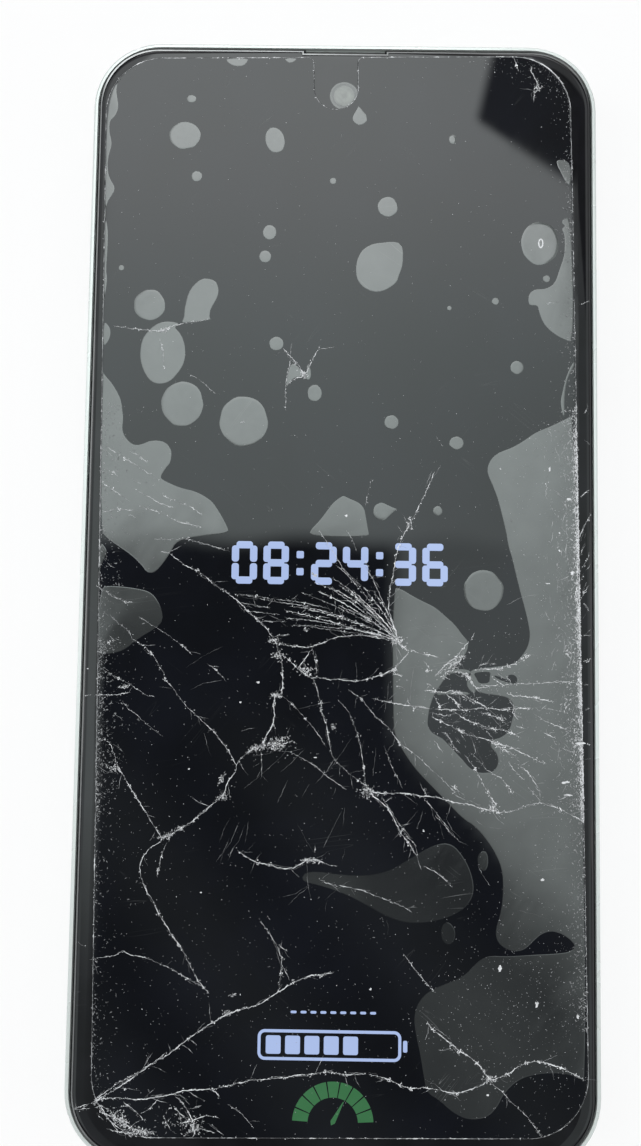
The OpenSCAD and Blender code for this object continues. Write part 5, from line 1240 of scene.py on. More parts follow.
class PHONE_OT_stage(bpy.types.Operator):
    """Lays the floor, and sets the lights, the reflector card and the camera"""

    bl_idname = "phone.stage"
    bl_label = "Stage"

    def execute(self, context):
        self.make_camera(context.scene)
        self.make_floor()
        self.make_card()
        self.make_lights()
        self.make_world(context.scene)
        return {"FINISHED"}

    def make_camera(self, scene):
        data = bpy.data.cameras.new("camera")
        data.lens, data.sensor_width, data.sensor_fit = CAMERA_LENS, 36.0, "AUTO"
        data.clip_start, data.clip_end = 0.005, 20.0
        camera = added("camera", data)
        back = CAMERA_RIGHT.cross(CAMERA_UP)
        turn = Matrix((CAMERA_RIGHT, CAMERA_UP, back)).transposed().to_4x4()
        camera.matrix_world = Matrix.Translation(CAMERA_SPOT) @ turn
        scene.camera = camera

    def make_floor(self):
        mesh = bpy.data.meshes.new("floor")
        half, count = 3.0, 24
        steps = [(-1 + 2 * i / count) ** 3 * half for i in range(count + 1)]
        row = count + 1
        corners = [r * row + i for r in range(count) for i in range(count)]
        faces = [(k, k + 1, k + row + 1, k + row) for k in corners]
        mesh.from_pydata([(x, y, 0.0) for y in steps for x in steps], [], faces)
        far = mesh.attributes.new("level", "FLOAT", "POINT")
        far.data.foreach_set(
            "value", [0.72 + 0.28 * eased(math.hypot(v.co.x, v.co.y), 0.12, 0.55) for v in mesh.vertices]
        )
        floor = added("floor", mesh)
        floor.location.z = CAD_BOX[0][2] - 0.02 * MM
        material = bpy.data.materials.new("pale_floor")
        material.use_nodes = True
        tree = material.node_tree
        shader = tree.nodes["Principled BSDF"]
        shader.inputs["Base Color"].default_value = (0.86, 0.87, 0.87, 1)
        shader.inputs["Roughness"].default_value = 0.7
        shader.inputs["Specular IOR Level"].default_value = 0.2
        own = tree.nodes.new("ShaderNodeEmission")
        own.inputs["Color"].default_value = (1.0, 1.0, 1.0, 1)
        path = tree.nodes.new("ShaderNodeLightPath")
        level = tree.nodes.new("ShaderNodeAttribute")
        level.attribute_name = "level"
        seen = sums(tree, "MULTIPLY", path.outputs["Is Camera Ray"], level.outputs["Fac"])
        mix = tree.nodes.new("ShaderNodeMixShader")
        tree.links.new(seen, mix.inputs["Fac"])
        tree.links.new(shader.outputs[0], mix.inputs[1])
        tree.links.new(own.outputs[0], mix.inputs[2])
        tree.links.new(mix.outputs[0], tree.nodes["Material Output"].inputs["Surface"])
        mesh.materials.append(material)

    def make_card(self):
        """The card is seen in the glass only: it gives the broad soft reflections and lights nothing."""
        scale = 1 + CARD_HEIGHT / (CAMERA_SPOT.z - GLASS_TOP)
        spots, faces, levels, tints = [], [], [], []
        xs = evenly(-80, 1.6, 60) + evenly(16, 0.4, 60) + evenly(40, 1.6, 26)
        ys = evenly(
            -110, 1.6, 70
        ) + evenly(2, 0.8, 10) + evenly(10, 1.6, 30) + evenly(58, 0.4, 65) + evenly(84, 1.6, 20)
        for y in ys:
            for x in xs:
                spots.append(
                    (
                        CAMERA_SPOT.x + (x * MM - CAMERA_SPOT.x) * scale,
                        CAMERA_SPOT.y + (y * MM - CAMERA_SPOT.y) * scale, GLASS_TOP + CARD_HEIGHT
                    )
                )
                levels.append(card_light(x, y))
                green = eased(-y, -62, -30)
                tints += (0.95 - 0.05 * green, 1.0, 1.0 - 0.01 * green, 1.0)
        for r in range(len(ys) - 1):
            for i in range(len(xs) - 1):
                a = r * len(xs) + i
                faces.append((a, a + len(xs), a + len(xs) + 1, a + 1))
        mesh = bpy.data.meshes.new("reflector_card")
        mesh.from_pydata(spots, [], faces)
        mesh.attributes.new("level", "FLOAT", "POINT").data.foreach_set("value", levels)
        mesh.attributes.new("tint", "FLOAT_COLOR", "POINT").data.foreach_set("color", tints)
        material = bpy.data.materials.new("reflector_card")
        material.use_nodes = True
        tree = material.node_tree
        tree.nodes.remove(tree.nodes["Principled BSDF"])
        glow = tree.nodes.new("ShaderNodeEmission")
        for label, socket, output in (("level", "Strength", "Fac"), ("tint", "Color", "Color")):
            kept = tree.nodes.new("ShaderNodeAttribute")
            kept.attribute_name = label
            tree.links.new(kept.outputs[output], glow.inputs[socket])
        tree.links.new(glow.outputs[0], tree.nodes["Material Output"].inputs["Surface"])
        material.cycles.emission_sampling = "NONE"
        mesh.materials.append(material)
        card = added("reflector_card", mesh)
        card.visible_camera = card.visible_diffuse = card.visible_shadow = card.visible_transmission = False

    def make_lights(self):
        for name, spot, size, power, seen in (
            ("top_softbox", (0.0, 0.05, 1.1), (0.9, 0.9), 6.0, False),
            ("left_softbox", (-0.75, 0.1, 0.5), (0.5, 0.9), 2.2, True),
            ("right_softbox", (0.8, -0.1, 0.55), (0.4, 0.9), 1.2, True),
            ("far_softbox", (0.1, 0.9, 0.45), (0.9, 0.3), 1.2, True),
        ):
            data = bpy.data.lights.new(name, "AREA")
            data.shape, data.size, data.size_y, data.energy = "RECTANGLE", size[0], size[1], power
            lamp = added(name, data)
            lamp.location = spot
            lamp.rotation_mode = "QUATERNION"
            lamp.rotation_quaternion = Vector(spot).to_track_quat("Z", "Y")
            lamp.visible_camera = False
            lamp.visible_glossy = seen

    def make_world(self, scene):
        scene.world = bpy.data.worlds.new("studio")
        scene.world.use_nodes = True
        tree = scene.world.node_tree
        room = tree.nodes["Background"]
        room.inputs["Color"].default_value = (0.97, 0.985, 1.0, 1)
        room.inputs["Strength"].default_value = 0.45
        white = tree.nodes.new("ShaderNodeBackground")
        white.inputs["Color"].default_value = (1, 1, 1, 1)
        path = tree.nodes.new("ShaderNodeLightPath")
        mix = tree.nodes.new("ShaderNodeMixShader")
        tree.links.new(path.outputs["Is Camera Ray"], mix.inputs["Fac"])
        tree.links.new(room.outputs[0], mix.inputs[1])
        tree.links.new(white.outputs[0], mix.inputs[2])
        tree.links.new(mix.outputs[0], tree.nodes["World Output"].inputs["Surface"])
        scene.view_settings.view_transform = "Standard"


# ---------------------------------------------------------------- the pieces
class PHONE_OT_finishes(bpy.types.Operator):
    """Gives every CAD node the finish of its material slot"""

    bl_idname = "phone.finishes"
    bl_label = "Finishes"

    def execute(self, context):
        FINISHES.update({made.name: made.material for made in make_finishes()})
        for name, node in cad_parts.items():
            for slot in node.material_slots:
                slot.material = FINISHES[NODE_FINISH[name]]
        return {"FINISHED"}


NODE_FINISH = {
    "screen_protector": "protector_glass", "cover_glass": "screen_glass", "display_panel": "panel_black",
    "display_adhesive": "black_adhesive", "display_flex": "amber_ribbon", "mid_frame": "frame_silver",
    "rear_cover": "cover_plastic", "rear_adhesive": "black_adhesive", "camera_plate": "camera_plate_black",
    "camera_windows": "lens_glass", "flash_lens": "flash_cream", "flash_led": "led_yellow",
    "rear_camera_main": "camera_black", "rear_camera_second": "camera_black", "front_camera": "camera_black",
    "front_camera_lens": "front_lens", "camera_flexes": "amber_ribbon", "earpiece_speaker": "speaker_black",
    "earpiece_mesh": "mesh_black", "light_sensor": "sensor_violet", "main_board": "board_green",
    "board_shields": "can_steel", "board_chips": "chip_black", "board_connectors": "connector_cream",
    "card_reader": "can_steel", "sim_tray": "key_silver", "battery": "battery_grey",
    "battery_adhesive": "white_tape", "battery_flex": "amber_ribbon", "graphite_sheet": "graphite_grey",
    "sub_board": "board_green", "usb_shell": "port_steel", "usb_tongue": "socket_black",
    "headphone_jack": "socket_black", "loudspeaker_box": "speaker_black", "speaker_mesh": "mesh_black",
    "vibration_motor": "can_steel", "microphones": "can_steel", "main_flex": "amber_ribbon",
    "antenna_coax": "lead_black", "power_key": "key_silver", "fingerprint_sensor": "sensor_black",
    "volume_key": "key_silver", "key_flex": "amber_ribbon", "key_switches": "can_steel",
    "top_bracket": "bracket_black", "bottom_bracket": "bracket_black", "bracket_screws": "screw_steel",
}


class PHONE_OT_cover_glass(bpy.types.Operator):
    """Makes the cover glass, with its rounded edge and the notch for the earpiece"""

    bl_idname = "phone.cover_glass"
    bl_label = "Cover glass"

    def execute(self, context):
        low, high = GLASS_BOX
        width, length = (high[0] - low[0]) / MM, (high[1] - low[1]) / MM
        top, half, deep = length / 2, 6.0, 0.5
        notch = [(half, top), (half, top - deep), (-half, top - deep), (-half, top)]
        outline = with_notch(rounded_outline(width, length, 9.3, 20), notch, top)
        rings = [
            (moved_in(outline, inset) if inset else outline, high[2] - drop * MM)
            for inset, drop in GLASS_CURVE
        ]
        piece = placed(
            "cover_glass_rounded", ringed_mesh("cover_glass_rounded", rings, (True, True), 5.0),
            FINISHES["screen_glass"], smooth=50
        )
        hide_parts("cover_glass")
        # A matte black band over the outer part of the glass's curved edge, standing in as a painted dark
        # reflection.
        dark_edge_rings = [
            (moved_in(outline, inset) if inset else outline, high[2] - (drop - lift) * MM)
            for (inset, drop), lift in zip(GLASS_CURVE[1:5], (0.0, 0.006, 0.008, 0.0))
        ]
        placed(
            "painted_dark_edge", ringed_mesh("painted_dark_edge", dark_edge_rings, (False, False)), FINISHES["painted_dark_edge"],
            smooth=50
        )
        self.painted_edge_highlight(outline)
        return {"FINISHED"}

    def painted_edge_highlight(self, outline):
        """The narrow bevel along the glass's edge, with a painted highlight along the top and the left."""
        work = Relief(8)
        for inset, lift in ((0.27, 0.012), (0.38, 0.02), (0.5, 0.012)):
            for x, y in moved_in(outline, inset):
                # Painted highlight: pale along the top, brightest left of the middle, fainter down the left
                # side, with a faint shimmer.
                top = eased(y, 72, 78.5)
                bright = 0.3 + 1.0 * eased(-x, 4, 9) - 0.12 * eased(x, 8, 20)
                left = (0.26 - 0.06 * eased(-y, 30, 60)) * eased(-x, 30, 35)
                shimmer = 1 + 0.35 * noise.noise(Vector((x * 0.5, y * 0.5, 4.0)))
                work.tones.append((left + (bright - left) * top + 0.03) * shimmer)
                work.points.append((x * MM, y * MM, glass_height(x, y) + lift * MM))
        work.faces += ring_faces(len(outline), 3)
        work.piece("painted_edge_highlight", FINISHES["painted_edge_highlight"], slot="screen_glass")


class PHONE_OT_protector(bpy.types.Operator):
    """Makes the screen protector, a turned sheet with a camera notch and ground edges"""

    bl_idname = "phone.protector"
    bl_label = "Screen protector"

    def execute(self, context):
        outline = guard_outline()
        rings = [
            (outline, GLASS_TOP), (outline, GUARD_TOP - 0.07 * MM),
            (moved_in(outline, 0.05), GUARD_TOP - 0.02 * MM), (moved_in(outline, 0.13), GUARD_TOP),
            (moved_in(outline, 0.2), GUARD_TOP)
        ]
        piece = placed(
            "protector_sheet", ringed_mesh("protector_sheet", rings, (True, True), 4.0),
            FINISHES["protector_glass"], smooth=60
        )
        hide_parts("screen_protector")
        return {"FINISHED"}


class PHONE_OT_air_pockets(bpy.types.Operator):
    """Lays the air pockets and the round bubbles that lift the protector"""

    bl_idname = "phone.air_pockets"
    bl_label = "Air pockets"

    def execute(self, context):
        lift = sizes().pocket_lift
        wide = Relief(11)
        for top_reflection, low_reflection, outline in POCKETS:
            high, low = max(p[1] for p in outline), min(p[1] for p in outline)
            shape = softened([held_inside(*p) for p in anticlockwise(outline)])

            # Painted reflection: each pocket's own top and bottom strength, and darker towards the lower
            # right, where the reflection over the screen is dark.
            def tone(x, y, a=top_reflection, b=low_reflection, high=high, low=low):
                share = eased(y, low + 0.25 * (high - low), high)
                return (b + (a - b) * share) * (
                    0.93 + 0.14 * noise.noise(Vector((x * 0.35, y * 0.35, 3.0)))
                ) * (1 - 0.72 * eased(-y - 0.9 * (x - 30), 38, 60) * eased(x, 0, 6))

            wide.lay(shape, GUARD_TOP - 0.004 * MM, GUARD_TOP + 0.6 * lift, 0.1, tone, 1.6, 0.6)
        wide.piece("air_pockets", FINISHES["air_pocket"], slot="protector_glass")

        small = Relief(12)
        for i, (x, y, across, along, lean) in enumerate(BUBBLES):
            self.dome(small, x, y, across, along, lean, i, lift)
        for i, (x, y, across, along, tip_x, tip_y) in enumerate(DROPS):
            self.dome(small, x, y, across, along, 0, 40 + i, lift, (tip_x, tip_y))
        small.piece("round_bubbles", FINISHES["air_pocket"], slot="protector_glass")

        held = Relief(13)
        for outline in HELD_DOWN:
            held.lay(softened(outline, 1), GUARD_TOP, GUARD_TOP + 0.8 * lift, 0.08, lambda x, y: 0.0, 0.6)
        held.piece("held_down_slivers", FINISHES["protector_glass"], slot="protector_glass")
        return {"FINISHED"}

    def dome(self, relief, x, y, across, along, lean, seed, lift, tip=None):
        """One bubble: rings of points from its foot up to a flat crown, toned with a painted reflection that
        is brightest just inside its foot.
        """
        count, lean = 20 + int(9 * max(across, along)), math.radians(lean)
        points, tones = [], []
        # each ring: share of the size, share of the lift, and the strength of the painted reflection
        rings = (
            (1.0, 0.0, 0.55), (1 - min(0.3, 0.07 / across), 0.7, 1.1), (0.86, 0.95, 0.98), (0.5, 1.0, 0.95)
        )
        for share, up, tone in rings:
            for i in range(count):
                a = 2 * math.pi * i / count
                ragged = 1 + 0.05 * noise.noise(Vector((2 * math.cos(a), 2 * math.sin(a), seed * 3.7)))
                u, v = across * ragged * math.cos(a), along * ragged * math.sin(a)
                p = Vector(
                    (x + u * math.cos(lean) - v * math.sin(lean), y + u * math.sin(lean) + v * math.cos(lean))
                )
                if tip:
                    pull = Vector(tip) - Vector((x, y))
                    p += (Vector(tip) - p) * eased(
                        Vector((math.cos(a), math.sin(a))).dot(pull.normalized()), 0.55, 1.0
                    )
                p = Vector((x, y)) + (p - Vector((x, y))) * share
                points.append((p.x * MM, p.y * MM, GUARD_TOP - 0.004 * MM + up * lift))
                tones.append(tone * (0.96 + 0.1 * noise.noise(Vector((p.x, p.y, 1.0)))))
        points.append((x * MM, y * MM, GUARD_TOP + lift))
        tones.append(0.97)
        relief.add(points, domed_faces(count, len(rings)), tones)


class PHONE_OT_cracks(bpy.types.Operator):
    """Draws the cracks, with their side hairs and the slivers along them"""

    bl_idname = "phone.cracks"
    bl_label = "Cracks"

    def execute(self, context):
        size = sizes()
        side = GLASS_BOX[1][0] - 0.3 * MM
        for name, routes, low, seed in (
            ("long_cracks", CRACKS, OVER_GUARD, 21),
            ("impact_fan", FAN, OVER_GUARD, 22),
            ("border_cracks", BORDER_CRACKS, glass_height, 23),
        ):
            work = Relief(seed)
            for strength, route in routes:
                self.crack(work, route, strength, low, size)
            if name == "impact_fan":
                self.web(work, low, size)
            work.points = [(max(-side, min(side, x)), y, z) for x, y, z in work.points]
            work.piece(name, FINISHES["broken_glass"], slot="protector_glass")
        return {"FINISHED"}

    def web(self, work, low, size):
        """Faint hairs all over the broken half, which mostly run away from the point of impact."""
        rng = work.rng
        for _ in range(85):
            x, y = rng.gauss(4, 13), rng.gauss(-21, 11)
            away = math.atan2(y + 8, x - 8.6) + rng.gauss(0, 0.5)
            long = rng.uniform(0.8, 6.5)
            a, b = (x, y), (x + long * 0.5 * math.cos(away), y + long * 0.5 * math.sin(away))
            away += rng.gauss(0, 0.18)
            c = (b[0] + long * 0.5 * math.cos(away), b[1] + long * 0.5 * math.sin(away))
            if all(abs(p[0]) < 33.5 and p[1] < 3 for p in (a, b, c)):
                work.ridge(
                    [a, b, c], size.hair_width * 0.75, rng.uniform(0.12, 0.42), low, size.crack_lift * 0.5,
                    0.35, 0.05
                )

    def crack(self, work, route, strength, low, size):
        """One crack: a jagged lip, strands beside it, side hairs, and slivers thickest at its bends."""
        rng, lift = work.rng, size.crack_lift
        width = size.crack_width * (0.35 + 0.65 * strength ** 1.5)
        stations = work.ridge(route, width, 0.7 + 0.6 * strength, low, lift)
        count = len(stations)
        for _ in range(int(count * 0.09 * strength) + int(strength > 0.5)):
            first = rng.randrange(max(1, count - 5))
            part = stations[first:first + rng.randint(4, 14)]
            if len(part) > 2:
                across, along = rng.gauss(0, 0.17), rng.gauss(0, 0.17)
                work.ridge(
                    [(p.x + across, p.y + along) for p in part[::2]], width * 0.5,
                    rng.uniform(0.3, 0.8) * strength, low, lift * 0.7, 0.3, 0.05
                )
        for x, y in route[1:-1]:
            if rng.random() < 0.55 * strength:
                for _ in range(rng.randint(2, 9)):
                    work.splinter(
                        x + rng.gauss(0, 0.14), y + rng.gauss(0, 0.14), rng.uniform(0.1, 0.34) * MM,
                        rng.uniform(0.06, 0.17) * MM, rng.uniform(0, 3), 0.9 + 0.4 * strength, low, lift * 1.4
                    )
        for i in range(1, count - 1):
            here, run = stations[i], stations[i + 1] - stations[i - 1]
            heading = math.atan2(run.y, run.x)
            if rng.random() < 0.11 * strength:
                turn = heading + rng.choice((-1, 1)) * math.radians(rng.uniform(15, 70))
                long = rng.uniform(0.3, 2.2) * (0.5 + strength)
                bend = turn + rng.uniform(-0.3, 0.3)
                middle = here + Vector((math.cos(turn), math.sin(turn))) * long * 0.5
                end = middle + Vector((math.cos(bend), math.sin(bend))) * long * 0.5
                work.ridge(
                    [tuple(here), tuple(middle), tuple(end)], size.hair_width, 0.2 + 0.5 * strength, low,
                    lift * 0.6, 0.3, 0.04
                )
            if rng.random() < 0.78 * strength:
                off = rng.gauss(0, 0.1)
                work.splinter(
                    here.x - off * math.sin(heading), here.y + off * math.cos(heading),
                    rng.uniform(0.06, 0.3) * MM, rng.uniform(0.04, 0.15) * MM,
                    heading + rng.uniform(-1.3, 1.3), rng.uniform(0.4, 0.7) + 0.8 * strength, low, lift * 1.4
                )


class PHONE_OT_crushed_glass(bpy.types.Operator):
    """Scatters splinters over the crushed spots and along the worst edge"""

    bl_idname = "phone.crushed_glass"
    bl_label = "Crushed glass"

    def execute(self, context):
        lift = sizes().crack_lift
        work, low = Relief(31), OVER_GUARD
        rng = work.rng
        for x, y, along, across, lean, count in CRUSHED:
            lean = math.radians(lean)
            for _ in range(int(count * 2.0)):
                u, v = along * rng.gauss(0, 0.55), across * rng.gauss(0, 0.55)
                self.bit(
                    work, x + u * math.cos(lean) - v * math.sin(lean),
                    y + u * math.sin(lean) + v * math.cos(lean), rng, low, lift, 1.0
                )
        for x, y, across, along in CHIPS:
            level = glass_height if abs(x) > 35.6 else low
            for _ in range(7):
                work.splinter(
                    x + rng.gauss(0, across * 0.3), y + rng.gauss(0, along * 0.3), 1.3 * along * MM,
                    1.3 * across * MM, math.pi / 2 + rng.uniform(-0.3, 0.3), 1.0, level, 1.6 * lift
                )
        for i in range(26):
            a = 2 * math.pi * i / 26
            work.splinter(
                29.35 + 0.3 * math.cos(a), 51.15 + 0.62 * math.sin(a), 0.34 * MM, 0.24 * MM,
                math.atan2(0.62 * math.cos(a), -0.3 * math.sin(a)), 1.1, low, lift
            )
        work.piece("crushed_spots", FINISHES["broken_glass"], slot="protector_glass")

        edge = Relief(32)
        rng = edge.rng
        for _ in range(2300):
            y = rng.uniform(-33, 24)
            if rng.random() < 0.35 + 0.65 * eased(noise.noise(Vector((y * 0.3, 0.5, 7.0))) + 0.25, -0.3, 0.4):
                x, y = held_inside(60, y, 0.05)
                edge.splinter(
                    x - abs(rng.gauss(0, 0.28)), y, rng.uniform(0.12, 0.6) * MM, rng.uniform(0.04, 0.12) * MM,
                    math.pi / 2 + rng.gauss(0, 0.4), rng.uniform(0.7, 1.3), low, lift
                )
        for side, y0, y1, count, reach, tone in EDGE_BANDS:
            self.edge_band(edge, rng, side, y0, y1, count, reach, low, lift, tone)
        for y in [rng.uniform(-31, 24) for _ in range(150)]:
            x = 34.6 - rng.expovariate(0.8) if rng.random() < 0.8 else rng.uniform(28, 34)
            turn, long = rng.choice((0.6, 2.4, 1.1, 1.5)) + rng.uniform(-0.5, 0.5), rng.uniform(0.4, 2.2)
            self.hair(edge, x, y, turn, long, low, lift, rng)
        for y in [rng.uniform(-12, 24) for _ in range(70)]:
            self.hair(
                edge, rng.triangular(29.5, 34.4, 33.6), y, math.pi / 2 + rng.gauss(0, 0.3),
                rng.uniform(0.5, 2.4), low, lift, rng
            )
        for y in [rng.uniform(-34, 22) for _ in range(34)]:
            self.hair(
                edge, -34.4 + rng.expovariate(0.7), y, rng.uniform(2.2, 2.9), rng.uniform(0.5, 1.8), low,
                lift, rng
            )
        edge.piece("crushed_edges", FINISHES["broken_glass"], slot="protector_glass")
        return {"FINISHED"}

    def bit(self, work, x, y, rng, low, lift, tone):
        big = rng.random() ** 2.2
        work.splinter(
            x, y, (0.07 + 0.42 * big) * MM, (0.04 + 0.14 * big) * MM, rng.uniform(0, math.pi),
            tone * rng.uniform(0.2, 1.0), low, lift * (0.5 + 1.2 * big)
        )

    def edge_band(self, work, rng, side, y0, y1, count, reach, low, lift, tone):
        for _ in range(count):
            y = rng.uniform(y0, y1)
            clump = 0.5 + 0.5 * noise.noise(Vector((side * 5.0, y * 0.35, 2.0)))
            if rng.random() > 0.25 + 0.9 * clump:
                continue
            inward = rng.expovariate(1 / (reach * (0.5 + clump)))
            x, y = held_inside(side * 60, y, 0.05)
            self.bit(work, x - side * inward, y, rng, low, lift, tone * (0.55 + 0.45 * math.exp(-inward)))

    def hair(self, work, x, y, turn, long, low, lift, rng):
        bend = turn + rng.uniform(-0.6, 0.6)
        a = Vector((x, y))
        b = a + Vector((math.cos(turn), math.sin(turn))) * long * 0.5
        c = b + Vector((math.cos(bend), math.sin(bend))) * long * 0.5
        inside = [held_inside(*p, 0.1) for p in (a, b, c)]
        work.ridge(inside, sizes().hair_width, rng.uniform(0.35, 1.0), low, lift * 0.7, 0.3, 0.04)


class PHONE_OT_edge_chips(bpy.types.Operator):
    """Runs the broken bright line round the protector's edge"""

    bl_idname = "phone.edge_chips"
    bl_label = "Chipped edge"

    def execute(self, context):
        work, width, lift = Relief(41), sizes().edge_width, sizes().crack_lift
        rng, line = work.rng, [Vector(p) for p in moved_in(guard_outline(), 0.09)]
        line.append(line[0])
        work.ridge([tuple(p) for p in line], width * 0.5, 0.5, INTO_GUARD, 0.6 * lift, 0.3, 0.02)
        run, on, left, strength = [], True, 2.0, 0.6
        for a, b in zip(line, line[1:]):
            count = max(1, round((b - a).length / 0.25))
            for i in range(count):
                p = a + (b - a) * (i / count)
                strength, gaps = self.manner(p)
                left -= (b - a).length / count
                if left <= 0:
                    if on and len(run) > 1:
                        work.ridge(
                            run, width * rng.uniform(0.5, 1.0) * (0.6 + 0.5 * strength), 0.3 + strength,
                            INTO_GUARD, lift, 0.3, 0.02
                        )
                    on, run = not on, []
                    left = rng.expovariate(1 / (1.6 if on else gaps)) + 0.15
                if on:
                    run.append(tuple(p))
                if rng.random() < 0.14 * strength:
                    work.splinter(
                        p.x + rng.gauss(0, 0.07), p.y + rng.gauss(0, 0.07), rng.uniform(0.1, 0.32) * MM,
                        rng.uniform(0.06, 0.14) * MM, rng.uniform(0, 3), 0.2 + strength,
                        GUARD_TOP - 0.005 * MM, lift * 1.3
                    )
        work.piece("chipped_edge", FINISHES["broken_glass"], slot="protector_glass")
        return {"FINISHED"}

    def manner(self, p):
        """How bright the edge is at a spot, and how long its gaps are."""
        if abs(p.x + 1.3) < 5.5 and p.y > 69:
            return 0.85, 0.15
        if p.y > 76:
            return (0.9, 0.3) if p.x < 20 else (1.0, 0.15)
        if p.y < -74:
            return 0.8, 0.4
        if p.x > 30:
            return (0.9, 0.2) if -32 < p.y < 27 else (0.65, 0.5)
        return (0.5, 0.8) if p.y > -8 else (0.55, 0.6)


class PHONE_OT_glass_dust(bpy.types.Operator):
    """Dusts the screen with specks of glass, thickest near the damage"""

    bl_idname = "phone.glass_dust"
    bl_label = "Glass dust"

    def execute(self, context):
        work, low, lift = Relief(51), OVER_GUARD, 0.03 * MM
        rng = work.rng

        def speck(x, y, big):
            x, y = held_inside(x, y, 0.2)
            if (x + 1.3) ** 2 + (y - 75) ** 2 < 22:
                return
            size = (0.05 + 0.09 * rng.random() + big) * MM
            work.splinter(
                x, y, size, size * rng.uniform(0.5, 1.0), rng.uniform(0, 3), rng.uniform(0.15, 0.9) ** 1.3,
                low, lift
            )

        for _ in range(sizes().dust_count):
            speck(rng.uniform(-34, 34), rng.uniform(-77, 79), 0.0)
        for _ in range(1100):
            speck(rng.uniform(-34, 34), rng.triangular(-77, 8, -60), 0.05 * (rng.random() < 0.1))
        for _ in range(700):
            speck(rng.gauss(26, 7), rng.gauss(-60, 9), 0.04 * (rng.random() < 0.1))
        for _ in range(600):
            speck(rng.gauss(30, 4), rng.uniform(-40, 25), 0.0)
        for _ in range(500):
            speck(rng.gauss(21, 6), rng.gauss(-18, 5), 0.0)
        for _ in range(2600):
            x, y = rng.triangular(16, 35.6, 34), rng.triangular(60, 80, 78)
            inward = GUARD_CORNER - math.hypot(
                max(0, x - 34.9 + GUARD_CORNER), max(0, y - 79.6 + GUARD_CORNER)
            )
            if rng.random() < math.exp(-0.75 * max(0.0, inward)) * (0.35 + 0.65 * eased(x + y, 84, 104)):
                speck(x, y, 0.05 * rng.random() ** 4)
        work.piece("glass_dust", FINISHES["glass_dust"], slot="protector_glass")
        return {"FINISHED"}


# The seven bars of a digit, as (middle across, middle up, lies flat), and which of them each digit lights.
BARS = {
    "a": (0, 1, True), "b": (0.5, 0.5, False), "c": (0.5, -0.5, False), "d": (0, -1, True),
    "e": (-0.5, -0.5, False), "f": (-0.5, 0.5, False), "g": (0, 0, True)
}
LIT_BARS = {
    "0": "abcdef", "1": "bc", "2": "abged", "3": "abgcd", "4": "fgbc", "5": "afgcd", "6": "afgedc",
    "7": "abc", "8": "abcdefg", "9": "abfgcd"
}


